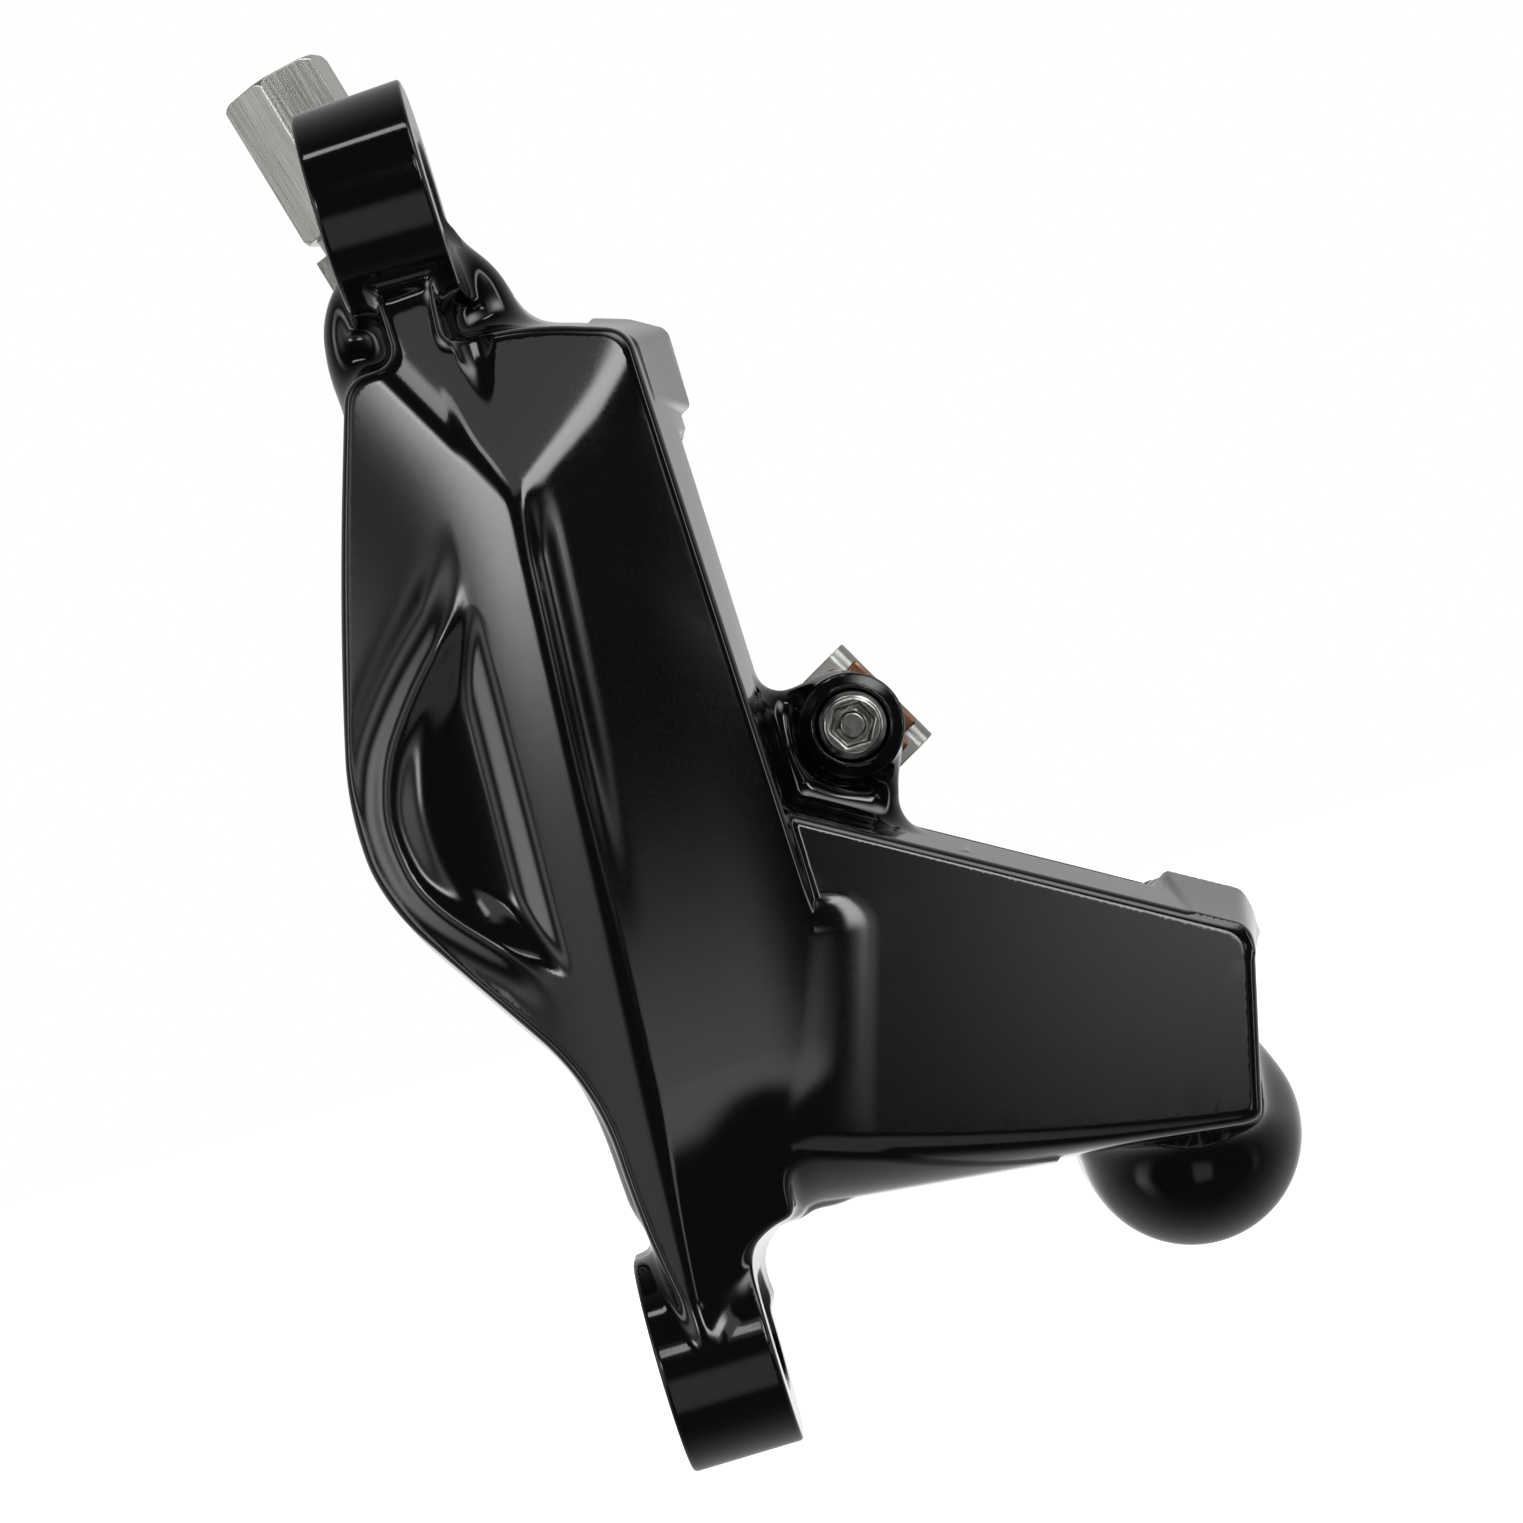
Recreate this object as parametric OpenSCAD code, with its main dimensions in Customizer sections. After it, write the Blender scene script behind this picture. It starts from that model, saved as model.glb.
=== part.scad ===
// Four-piston disc brake caliper for a bicycle, post mount, two-piece body.
// X runs along the mounting bolts away from the fork leg, Z along the line of the two posts,
// and Y along the wheel axle, with -Y on the outboard side.
// The origin is the middle of the two bolts on the mount faces. The modules are drawn about the rotor's
// plane, which lies post_offset inboard of it, and from_rotor() sets them in place.

/* [Post mount] */
// Distance between the two mounting bolts
post_spacing = 74.2; // [70:0.1:80]
// Distance of the bolt line from the rotor's plane, outboard
post_offset = 11; // [10:0.1:12]
// Thickness of the two mounting tabs along the bolts
tab_t = 7.1; // [6:0.1:9]
// Radius of the tabs' round ends
tab_r = 6.8; // [6.2:0.1:7.4]
// Width of the mounting slots
slot_w = 6.5; // [6.2:0.1:7]
// Length of the mounting slots along the axle
slot_l = 9.7; // [8:0.1:10.5]

/* [Rotor] */
// Diameter of the brake rotor that the caliper goes round
rotor_d = 160; // [160:1:162]
// Thickness of the rotor
rotor_t = 1.8; // [1.6:0.05:2]
// Room between the rotor and the body on each side and past its edge
rotor_room = 1.7; // [1.2:0.1:2.2]
// Angle of the pads' radial direction above the X axis
pad_angle = 28.4; // [26:0.1:30]

/* [Pads] */
// Distance from the rotor's axis to the middle of the pads
pad_radius = 69; // [68:0.1:69.5]
// Gap between each new pad and the rotor with the brake off
pad_gap = 0.4; // [0.25:0.05:0.6]
// Width of the pads along the rotor's rim
pad_w = 37.2; // [35:0.1:37.6]
// Height of the pads along the rotor's radius
pad_h = 18.2; // [17:0.1:18.6]
// Thickness of the pads' backplates
plate_t = 1.8; // [1.6:0.1:2]
// Thickness of the friction material
friction_t = 2.2; // [1.8:0.1:2.4]
// Rim of bare backplate round the friction material
friction_rim = 1.2; // [0.8:0.1:2]
// Clearance between a backplate's edge and the body
pad_play = 0.35; // [0.3:0.05:0.5]
// Travel of each pad back from rest when the pistons are pushed in
pad_return = 0.6; // [0.2:0.05:0.8]

/* [Pistons] */
// Diameter of the two upper pistons
upper_piston_d = 15; // [14:0.1:15.2]
// Diameter of the two lower pistons
lower_piston_d = 16; // [15:0.1:16.2]
// Distance between the two pistons of one side
piston_pitch = 19.2; // [19.1:0.1:19.6]
// Distance of the pistons' middle from the pads' middle, towards the upper tab
piston_shift = 1; // [0.6:0.1:1.2]
// Length of the pistons
piston_l = 8.8; // [8:0.1:9.2]
// Wall of the pistons
piston_wall = 1.9; // [1.5:0.1:2.5]
// Depth of the pistons' cups
piston_cup = 6.4; // [4:0.1:7]
// Radial clearance of the pistons in their bores
piston_fit = 0.05; // [0.02:0.01:0.08]
// Side of the square section of the piston seals
seal_side = 1.6; // [1.4:0.05:1.7]

/* [Pad pin and spring] */
// Distance from the middle of the pads to the pad pin
pin_reach = 18.3; // [17.8:0.1:18.8]
// Diameter of the pad pin
pin_d = 3; // [2.8:0.1:3.2]
// Diameter of the pad pin's head
pin_head_d = 4.4; // [4.2:0.1:4.8]
// Outer radius of the ears that hold the pad pin
ear_r = 3.3; // [3.1:0.1:3.6]
// Thickness of the ears along the pin
ear_t = 3.9; // [3.4:0.1:4.2]
// Width of the pads' ears and of the spring's fold
fold_w = 8.2; // [7.6:0.1:8.8]
// Distance of the fold's outer edge from the pad pin
fold_reach = 3.4; // [3:0.1:3.8]
// Thickness of the spring's sheet
spring_t = 0.45; // [0.3:0.05:0.5]

/* [Body] */
// Height of the outboard half at its long ridge
ridge_h = 19.2; // [19:0.1:20]
// Height of the inboard half
inboard_h = 16.5; // [16.3:0.1:17.5]
// Draft of the side walls in degrees
draft = 6; // [4:0.5:7]
// Height of the step at the two joined ends
land_step = 0.6; // [0.3:0.05:0.8]
// Depth of the hollow over the upper outboard piston
hollow_depth = 0.6; // [0.3:0.05:0.8]

/* [Body bolts] */
// Diameter of the two bolts that join the halves
bolt_d = 5; // [4.5:0.1:5]
// Diameter of the bolts' heads
bolt_head_d = 8.4; // [8:0.1:8.5]
// Height of the bolts' heads
bolt_head_h = 5; // [4:0.1:5.5]
// Depth of the threaded holes in the outboard half
bolt_depth = 12.5; // [10:0.1:13]
// Width across flats of the hex sockets in the bolts
bolt_key = 4; // [3.5:0.1:4.2]

/* [Hose fitting] */
// Angle of the hose fitting from +Z towards the fork leg
hose_angle = 14.7; // [5:0.1:20]
// Outer radius of the banjo's eye
banjo_r = 5.9; // [5.6:0.1:6.2]
// Thickness of the banjo's eye along its bolt
banjo_t = 7.6; // [7.2:0.1:8]
// Diameter of the banjo bolt
banjo_bolt_d = 6; // [5.6:0.1:6]
// Thickness of the two sealing washers
washer_t = 1; // [0.6:0.1:1.2]
// Distance from the banjo bolt to the nut's outer end
fitting_l = 21.8; // [21:0.1:23]
// Length of the compression nut's hex
nut_l = 10.8; // [9:0.1:11]
// Width across flats of the compression nut
nut_af = 7; // [6.6:0.1:7.2]
// Diameter of the hose that enters the compression nut
hose_d = 5; // [4.6:0.1:5.1]

/* [Bleed port] */
// Radius of the bleed port's boss
bleed_r = 7.4; // [7:0.1:7.6]
// Height of the bleed port's boss on the inboard side
bleed_h = 15.5; // [14:0.1:16]
// Diameter of the bleed screw's thread
bleed_screw_d = 6; // [5.6:0.1:6.2]

/* [Hidden] */
$fn = 64;
big = 200;

// Middle of the pads and the directions along the rotor's radius and rim
pad_x = 6.5;
pad_z = -11.1;
function rt(r, t) = [
  pad_x + r * cos(pad_angle) + t * sin(pad_angle),
  pad_z + r * sin(pad_angle) - t * cos(pad_angle)
];
rotor_c = rt(-pad_radius, 0);
pin_c = rt(pin_reach, 0);
upper_c = rt(0, -piston_pitch / 2 - piston_shift);
lower_c = rt(0, piston_pitch / 2 - piston_shift);
upper_r = upper_piston_d / 2;
lower_r = lower_piston_d / 2;

// Depth stack from the rotor's plane outwards
slot_half = rotor_t / 2 + rotor_room;
friction_y = rotor_t / 2 + pad_gap;
plate_y = friction_y + friction_t;
piston_y = plate_y + plate_t + 0.05;
pocket_y = plate_y + plate_t + pad_return + 0.2;
bore_end = piston_y + piston_l + pad_return + 0.25;
groove_y = pocket_y + 2.1;
ear_y = pocket_y + 0.2;
pin_r = pin_d / 2;
ear_end = ear_y + ear_t;

// Long ridge of the outboard half, from the junction of its facets to the lower tab
ridge_top = [6.7, 17.2];
ridge_tip = [3.1, -36];
ridge_lean = (ridge_top.x - ridge_tip.x) / (ridge_top.y - ridge_tip.y);
main_slope = -0.2;
left_slope = 0.25;
prow_left_slope = 0.3;
prow_right_slope = -0.4;
fillet_r = 3.5;
fillet_c = [tab_t + fillet_r, -34.7];

// Outlines of the two arms in the joint plane, anticlockwise as seen from outboard
upper_arm_pts = [
  [-1.6, 28.3], [-8.1, 8.5], [-9.7, 1], [-8.8, -6.4], [5, -28], [18.5, -33],
  [18.5, 1.9], [18, 26], [9.8, 28.67], [6.9, 28.67]
];
upper_arm_draft = [3, 3, 3, 5, 0, 0, draft, draft, draft, draft];
right_arm_pts = [[8, -31], [40.8, -34.9], [44.4, -20.6], [8, 0.9]];
corner_pts = [[0.2, -18.6], [0.6, -29], [3, -30.6], [13, -31.6], [13, -18.6]];
bottom_from = [4, -30.5];
bottom_to = [45, -35.4];
bevel_from = [10.2, -26];
bevel_to = [37.7, -33.5];
bevel_h = ridge_h - 2.2;
right_arm_draft = [draft, draft, draft, 0];
land_upper = [[12, 19.4], [17.7, 19.4], [18 + land_step, 20.1], [18 + land_step, 25.2], [17.7, 25.8], [12, 27.7]];
land_right = [
  [38, -24], [38.2, -17.1], [39.2, -17.53 + land_step], [44, -20.35 + land_step], [44.1, -20.9], [43.2, -24]
];
land_edge = 20.9;

// Bolts that join the halves, and the fluid ports
bolt_upper = [11.2, 21.6];
bolt_lower = [36.6, -24.6];
bolt_r = bolt_d / 2;
head_r = bolt_head_d / 2;
head_y = inboard_h - bolt_head_h - 0.5;
crossover_upper = [4.6, 23.4];
crossover_lower = [33.2, -30.4];
crossover_r = 1;
o_ring_r = 0.9;
o_ring_mid = 2.1;

// Hose fitting on the inboard side
banjo_c = [3.6, 29.2];
banjo_boss_y = 8;
banjo_y = banjo_boss_y + washer_t;
banjo_mid = banjo_y + banjo_t / 2;
banjo_bolt_r = banjo_bolt_d / 2;
washer_r = banjo_r - 0.4;
nut_gap = 1.3;
nut_turn = 18;
hose_r = hose_d / 2;
nut_seat = fitting_l - nut_l;
hose_fit = 0.06;
spigot_r = nut_af / 2 - 0.45;
spigot_l = 3.6;
olive_l = 2.4;
olive_end = spigot_l + 0.05 + olive_l;

// Bleed port on the inboard side
bleed_c = [36.7, -34.7];
bleed_screw_r = bleed_screw_d / 2;
bleed_seat_y = 6;
bleed_cover_t = 1.6;
bleed_cover_r = bleed_r - 1.8;

// Side of the friction material and chamfers of the pads
pad_top = pad_h / 2 + 0.4;
pad_low = pad_top - pad_h;
pad_cut = 5.8;
thread_fit = 0.03;

// Moves what is drawn about the rotor's plane into the part's own frame
module from_rotor() {
  translate([0, post_offset, 0]) children();
}

// Points of an arc about a centre, from one angle to another
function arc(c, r, from, to, steps) = [
  for (i = [0:steps]) c + r * [cos(from + (to - from) * i / steps), sin(from + (to - from) * i / steps)]
];

// Solid of an outline drawn in X and Z, between two places along Y
module slab(y0, y1) {
  translate([0, y1, 0]) rotate([90, 0, 0]) linear_extrude(y1 - y0) children();
}

// Round bar along Y
module y_rod(c, y0, y1, r) {
  translate([c.x, y0, c.y]) rotate([-90, 0, 0]) cylinder(r = r, h = y1 - y0);
}

// Turned part about an axis along Y: its profile has radii in x and distances outboard in y
module turned(c) {
  translate([c.x, 0, c.y]) rotate([90, 0, 0]) rotate_extrude() children();
}

// Hex bar along Y
module hex_rod(c, y0, y1, af) {
  translate([c.x, y0, c.y]) rotate([-90, 0, 0]) cylinder(r = af / sqrt(3), h = y1 - y0, $fn = 6);
}

// Straight drilling between two points
module drilling(p, q, r) {
  d = q - p;
  translate(p) rotate([0, acos(d.z / norm(d)), atan2(d.y, d.x)]) cylinder(r = r, h = norm(d));
}

// Everything on the inner side of a wall that stands on the line p to q and leans in by a draft angle
module inside_wall(p, q, lean, y0 = 0) {
  translate([p.x, y0, p.y]) rotate([0, -atan2(q.y - p.y, q.x - p.x), 0]) rotate([-lean, 0, 0])
    translate([-big, -big, 0]) cube(2 * big);
}

// Everything behind a front plane: its height outboard at a point and its two slopes
module behind_plane(p, h, sx, sz) {
  n = [-sx, -1, -sz];
  translate([p.x, -h, p.y]) rotate([0, acos(n.z / norm(n)), atan2(n.y, n.x)])
    translate([-big, -big, -2 * big]) cube(2 * big);
}

// Block with a drafted wall on each edge of an outline
module drafted(pts, lean) {
  count = len(pts);
  intersection_for(i = [0:count - 1])
    inside_wall(pts[i], pts[(i + 1) % count], lean[i]);
}

// Bevel along the lower edge of the outboard half's front
module inside_bevel() {
  inside_wall(bevel_from, bevel_to, 41, -bevel_h);
}

// Wall along the bottom of both arms
module inside_bottom() {
  inside_wall(bottom_from, bottom_to, draft);
}

// The two arms of one half before its openings, cut to the one child that gives their front
module upper_arm(h) {
  intersection() {
    drafted(upper_arm_pts, upper_arm_draft);
    slab(-h, 0) square(big, center = true);
    inside_bottom();
    children();
  }
}

module right_arm(h) {
  intersection() {
    drafted(right_arm_pts, right_arm_draft);
    slab(-h, 0) square(big, center = true);
    children();
  }
}

// Corner between the arms and the lower tab, over the lower piston
module lower_corner(h) {
  intersection() {
    drafted(corner_pts, [3, 8, draft, 0, 0]);
    slab(-h, 0) square(big, center = true);
  }
}

// Raised lands where the halves meet
module lands() {
  slab(-5, 0) polygon(land_upper);
  slab(-5, 0) polygon(land_right);
}

// Ear that carries one end of the pad pin, with its web to both arms
module ear() {
  y_rod(pin_c, -ear_end, -ear_y, ear_r);
  slab(-ear_end, -ear_y) polygon(concat(
    [[16.5, 1.1]], [pin_c + ear_r * [cos(96), sin(96)]], [pin_c], [pin_c + ear_r * [cos(-48), sin(-48)]],
    [[24.1, -6.6], [24.3, -9.5], [16.5, -9.5]]
  ));
}

// Outline of the pads' pocket, open along the radius
module pocket_outline() {
  side = pad_w / 2 + pad_play;
  low = pad_low - pad_play;
  polygon([
    rt(low, -side + pad_cut), rt(low + pad_cut, -side), rt(45, -side),
    rt(45, side), rt(low + pad_cut, side), rt(low, side - pad_cut)
  ]);
}

// Everything cut from one half: rotor slot, pocket, piston bores, seal grooves, pin hole and ports
module half_cuts() {
  y_rod(rotor_c, -slot_half, 1, rotor_d / 2 + rotor_room + 0.8);
  slab(-slot_half, 1) polygon([rt(0, -land_edge), rt(45, -land_edge), rt(45, land_edge), rt(0, land_edge)]);
  slab(-pocket_y, 1) pocket_outline();
  piston_bore(upper_c, upper_r);
  piston_bore(lower_c, lower_r);
  drilling([upper_c.x, -bore_end + 1.2, upper_c.y], [lower_c.x, -bore_end + 1.2, lower_c.y], crossover_r - 0.1);
}

module piston_bore(c, r) {
  y_rod(c, -bore_end, -pocket_y + 1, r + piston_fit);
  y_rod(c, -groove_y - seal_side - 0.1, -groove_y + 0.05, r + seal_side + 0.03);
}

// Outboard half: faceted cover, mounting tabs, neck and the ear with the pin's head
module outboard_body() color("#0b0b0c") from_rotor() {
  difference() {
    union() {
      upper_arm(ridge_h + 1) intersection() {
        behind_plane(ridge_top, ridge_h, main_slope, -main_slope * ridge_lean);
        behind_plane(ridge_top, ridge_h, left_slope, -left_slope * ridge_lean);
        behind_plane(ridge_top, ridge_h, -0.065, -0.161);
        inside_bevel();
      }
      right_arm(ridge_h) intersection() {
        behind_plane([18.5, -8], ridge_h - 3.3, -0.055, -0.05);
        inside_bevel();
      }
      lower_corner(9);
      lands();
      prow();
      neck();
      tab(1);
      tab(-1);
      ear();
    }
    half_cuts();
    hollow();
    mount_slot(1);
    mount_slot(-1);
    y_rod(bolt_upper, -bolt_depth, 1, bolt_r + thread_fit);
    y_rod(bolt_lower, -bolt_depth, 1, bolt_r + thread_fit);
    y_rod(pin_c, -ear_end - 1, -ear_y + 1, pin_r + 0.05);
    y_rod(pin_c, -ear_end - 1, -ear_end + 2.4, pin_head_d / 2 + 0.1);
    crossover_port(crossover_upper);
    crossover_port(crossover_lower);
    drilling([crossover_upper.x, -5, crossover_upper.y], [upper_c.x, -bore_end + 1.5, upper_c.y], crossover_r);
    drilling([crossover_lower.x, -5, crossover_lower.y], [lower_c.x, -bore_end + 1.5, lower_c.y], crossover_r);
  }
}

// Fan below the ridge that runs out on the lower tab
module prow() {
  intersection() {
    slab(-ridge_h, -slot_half - 0.5) difference() {
      polygon([
        [0.2, -18.6], [0.5, -30.6], [1.1, -32.8], ridge_tip, [tab_t - 0.1, -34.2],
        [fillet_c.x, fillet_c.y], [fillet_c.x, -31], [14, -31], [14, -18.6]
      ]);
      translate(fillet_c) circle(r = fillet_r);
    }
    behind_plane(ridge_tip, ridge_h, prow_right_slope, -prow_right_slope * ridge_lean);
    behind_plane(ridge_tip, ridge_h, prow_left_slope, -prow_left_slope * ridge_lean);
  }
}

// Block that carries the upper tab above the body, sunk below the tab's round front
module neck() {
  intersection() {
    slab(-ridge_h, -1.5)
      polygon([[0, 23.6], [6.2, 23.9], [tab_t, 26.6], [tab_t, post_spacing / 2 - 4], [0, post_spacing / 2 - 4]]);
    behind_plane([0, 25], ridge_h - 0.9, 0, -0.16);
    behind_plane([0, 29.3], ridge_h - 1.7, 0, -1.6);
  }
}

module tab_outline(r) {
  reach = slot_l / 2 - slot_w / 2;
  for (s = [-1, 1])
    translate([-post_offset + s * reach, 0]) circle(r = r);
  translate([-post_offset - reach, -r]) square([2 * reach, 2 * r]);
}

// Mounting tab, seen along the bolts as a racetrack that runs on into the body
module tab(s) {
  translate([0, 0, s * post_spacing / 2]) rotate([90, 0, 90]) linear_extrude(tab_t) tab_outline(tab_r);
}

module mount_slot(s) {
  translate([-1, 0, s * post_spacing / 2]) rotate([90, 0, 90]) linear_extrude(tab_t + 2) tab_outline(slot_w / 2);
}

// Teardrop hollow over the upper piston, parallel to the left facet
module hollow() {
  r = upper_r - 0.4;
  tip = upper_c + [0.3, 11.1];
  difference() {
    slab(-ridge_h - 1, -ridge_h + 6)
      polygon(concat([tip], arc(upper_c, r, 152, 265, 10), [upper_c + [-0.4, -3], upper_c + [-0.7, 2.6]]));
    behind_plane(ridge_top, ridge_h - hollow_depth, left_slope, -left_slope * ridge_lean);
  }
}

// Port across the joint with the room for its O-ring
module crossover_port(c) {
  y_rod(c, -5.5, 1, crossover_r);
  y_rod(c, -o_ring_r * 0.8, 1, o_ring_mid + o_ring_r);
}

// Inboard half: banjo boss, bleed port and the bolts' counterbores
module inboard_body() color("#0d0d0e") from_rotor() {
  difference() {
    union() {
      mirror([0, 1, 0]) inboard_blocks();
      y_rod(banjo_c, 0, banjo_boss_y, banjo_r + 0.4);
      bleed_boss();
    }
    mirror([0, 1, 0]) half_cuts();
    y_rod(banjo_c, banjo_boss_y, inboard_h + 9, banjo_r + 1.3);
    y_rod(banjo_c, 1.4, banjo_boss_y + 1, banjo_bolt_r + thread_fit);
    for (c = [bolt_upper, bolt_lower]) {
      y_rod(c, -1, inboard_h, bolt_r + 0.15);
      y_rod(c, head_y, inboard_h + 1, head_r + 0.15);
    }
    y_rod(pin_c, ear_y - 1, ear_end + 1, pin_r + thread_fit);
    inboard_ports();
    bleed_bore();
  }
}

module inboard_blocks() {
  upper_arm(inboard_h) intersection() {
    behind_plane([-6.6, 0], inboard_h, 0.75, 0.08);
    behind_plane([0, 20], inboard_h, 0, -0.25);
  }
  right_arm(inboard_h) behind_plane([36, -24], inboard_h, -0.3, 0);
  lower_corner(inboard_h - 0.6);
  lands();
  y_rod(upper_c, -inboard_h - 0.5, -pocket_y - 2, upper_r + 0.9);
  y_rod(lower_c, -inboard_h - 0.5, -pocket_y - 2, lower_r + 0.9);
  ear();
}

// Fluid ways of the inboard half, from the banjo to the bores, the bleed port and the joint
module inboard_ports() {
  y = bore_end - 1.2;
  y_rod(crossover_upper, -1, 5.5, crossover_r);
  y_rod(crossover_lower, -1, y, crossover_r);
  drilling([banjo_c.x, 3, banjo_c.y], [crossover_upper.x, 3, crossover_upper.y], crossover_r);
  drilling([crossover_upper.x, 5, crossover_upper.y], [upper_c.x, y - 0.3, upper_c.y], crossover_r);
  drilling([lower_c.x, y, lower_c.y], [crossover_lower.x, y, crossover_lower.y], crossover_r - 0.1);
  drilling([crossover_lower.x, 4.6, crossover_lower.y], [bleed_c.x, 4.6, bleed_c.y], crossover_r);
}

// Domed boss of the bleed port
module bleed_boss() {
  mirror([0, 1, 0]) turned(bleed_c) intersection() {
    union() {
      translate([0, bleed_r + 0.5]) circle(r = bleed_r);
      translate([0, bleed_r + 0.5]) square([bleed_r, bleed_h - bleed_r - 0.5]);
    }
    square([bleed_r, bleed_h]);
  }
}

module bleed_bore() {
  y_rod(bleed_c, bleed_seat_y - 2.4, bleed_h + 1, 1.2);
  y_rod(bleed_c, bleed_seat_y, bleed_h + 1, bleed_screw_r + thread_fit);
  y_rod(bleed_c, bleed_h - 1.2, bleed_h + 1, bleed_screw_r + 1.4);
  y_rod(bleed_c, bleed_h, inboard_h + 1, bleed_r + 0.3);
}

// Two cap bolts with hex sockets, their heads on the inboard side
module body_bolts() color("#2a2a2c") from_rotor() {
  for (c = [bolt_upper, bolt_lower])
    difference() {
      mirror([0, 1, 0]) turned(c) polygon([
        [0, -bolt_depth + 1], [bolt_r - 0.6, -bolt_depth + 1], [bolt_r, -bolt_depth + 1.6], [bolt_r, head_y],
        [head_r, head_y], [head_r, head_y + bolt_head_h - 0.5], [head_r - 0.5, head_y + bolt_head_h],
        [0, head_y + bolt_head_h]
      ]);
      hex_rod(c, head_y + bolt_head_h - 2.6, head_y + bolt_head_h + 1, bolt_key);
    }
}

// O-rings round the two ports that cross the joint
module crossover_seals() color("#1c1c1c") from_rotor() {
  for (c = [crossover_upper, crossover_lower])
    turned(c) translate([o_ring_mid - 0.25, 0.02]) square([0.9, o_ring_r * 0.8 - 0.06]);
}

// Piston cup, open towards its pad
module piston(c, r) {
  turned(c) polygon([
    [r - piston_wall, piston_y], [r - 0.3, piston_y], [r, piston_y + 0.3], [r, piston_y + piston_l - 0.7],
    [r - 0.7, piston_y + piston_l], [0, piston_y + piston_l], [0, piston_y + piston_cup],
    [r - piston_wall - 0.6, piston_y + piston_cup], [r - piston_wall, piston_y + piston_cup - 0.6]
  ]);
}

// Square-section seal in its groove
module seal(c, r) {
  turned(c) translate([r + 0.02, groove_y]) square([seal_side, seal_side]);
}

module outboard_upper_piston() color("#3a3a3c") from_rotor() piston(upper_c, upper_r);
module outboard_lower_piston() color("#3a3a3c") from_rotor() piston(lower_c, lower_r);
module inboard_upper_piston() color("#3a3a3c") from_rotor() mirror([0, 1, 0]) piston(upper_c, upper_r);
module inboard_lower_piston() color("#3a3a3c") from_rotor() mirror([0, 1, 0]) piston(lower_c, lower_r);
module outboard_upper_seal() color("#202020") from_rotor() seal(upper_c, upper_r);
module outboard_lower_seal() color("#202020") from_rotor() seal(lower_c, lower_r);
module inboard_upper_seal() color("#202020") from_rotor() mirror([0, 1, 0]) seal(upper_c, upper_r);
module inboard_lower_seal() color("#202020") from_rotor() mirror([0, 1, 0]) seal(lower_c, lower_r);

// Half outline of a backplate: radius and distance along the rim, with the scalloped ear at the pin
ear_half = [
  [fold_reach - 0.9, 0], [fold_reach - 0.2, 0.9], [fold_reach - 0.22, 2.8], [2.2, 2.7], [1.9, 2.95],
  [1.76, 3.45], [1.07, 3.47], [0.1, fold_w / 2 - 0.05], [-4.6, fold_w / 2 - 0.05]
];
plate_half = concat(
  [for (p = ear_half) [p.x + pin_reach, p.y]],
  [
    [pad_top + 1.2, fold_w / 2 + 1.2], [pad_top, fold_w / 2 + 3.4], [pad_top, pad_w / 2 - 2.6],
    [pad_top - 3, pad_w / 2], [pad_low + pad_cut, pad_w / 2], [pad_low, pad_w / 2 - pad_cut]
  ]
);

// Points of both halves of an outline that is the same on both sides
function both_sides(half) = concat(
  [for (p = half) rt(p.x, p.y)],
  [for (i = [len(half) - 1:-1:0]) if (half[i].y > 0) rt(half[i].x, -half[i].y)]
);

module backplate() {
  difference() {
    slab(-plate_y - plate_t, -plate_y) polygon(both_sides(plate_half));
    y_rod(pin_c, -plate_y - plate_t - 1, -plate_y + 1, pin_r + 0.2);
  }
}

// Friction material with a groove across its middle
module friction() {
  m = friction_rim;
  difference() {
    slab(-plate_y, -friction_y) polygon(both_sides([
      [pad_top - m, 0], [pad_top - m, pad_w / 2 - 4.2], [pad_top - m - 2, pad_w / 2 - 2.4],
      [pad_low + pad_cut, pad_w / 2 - 2.4], [pad_low + m, pad_w / 2 - pad_cut - 1.5]
    ]));
    slab(-friction_y - friction_t * 0.7, -friction_y + 1)
      polygon([rt(-20, -0.6), rt(20, -0.6), rt(20, 0.6), rt(-20, 0.6)]);
  }
}

module outboard_backplate() color("#a8683c") from_rotor() backplate();
module outboard_friction() color("#4a4442") from_rotor() friction();
module inboard_backplate() color("#a8683c") from_rotor() mirror([0, 1, 0]) backplate();
module inboard_friction() color("#4a4442") from_rotor() mirror([0, 1, 0]) friction();

// Spring between the pads: a folded sheet with two legs, each with a crossbar and two fingers
spring_y = plate_y - 0.3;
fold_bend = 1.3;
function fold_profile(low, y, reach, r) = concat(
  [[low, y]],
  [for (a = [90:-15:-90]) [reach - r + r * cos(a), (a >= 0 ? 1 : -1) * (y - r) + r * sin(a)]],
  [[low, -y]]
);

// Outline of the sheet as seen along the pin: the folded stem, a crossbar and two fingers
module spring_outline() {
  bar_low = pad_top - friction_rim + 0.5;
  bar_top = bar_low + 1.4;
  side = pad_w / 2 - 0.5;
  finger_end = pad_low + pad_cut + 1;
  polygon(both_sides([
    [pin_reach + fold_reach + 1, 0], [pin_reach + fold_reach + 1, fold_w / 2], [bar_top, fold_w / 2],
    [bar_top, side], [finger_end, side], [finger_end, side - 1.3], [bar_low, side - 1.3], [bar_low, 0]
  ]));
}

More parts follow.
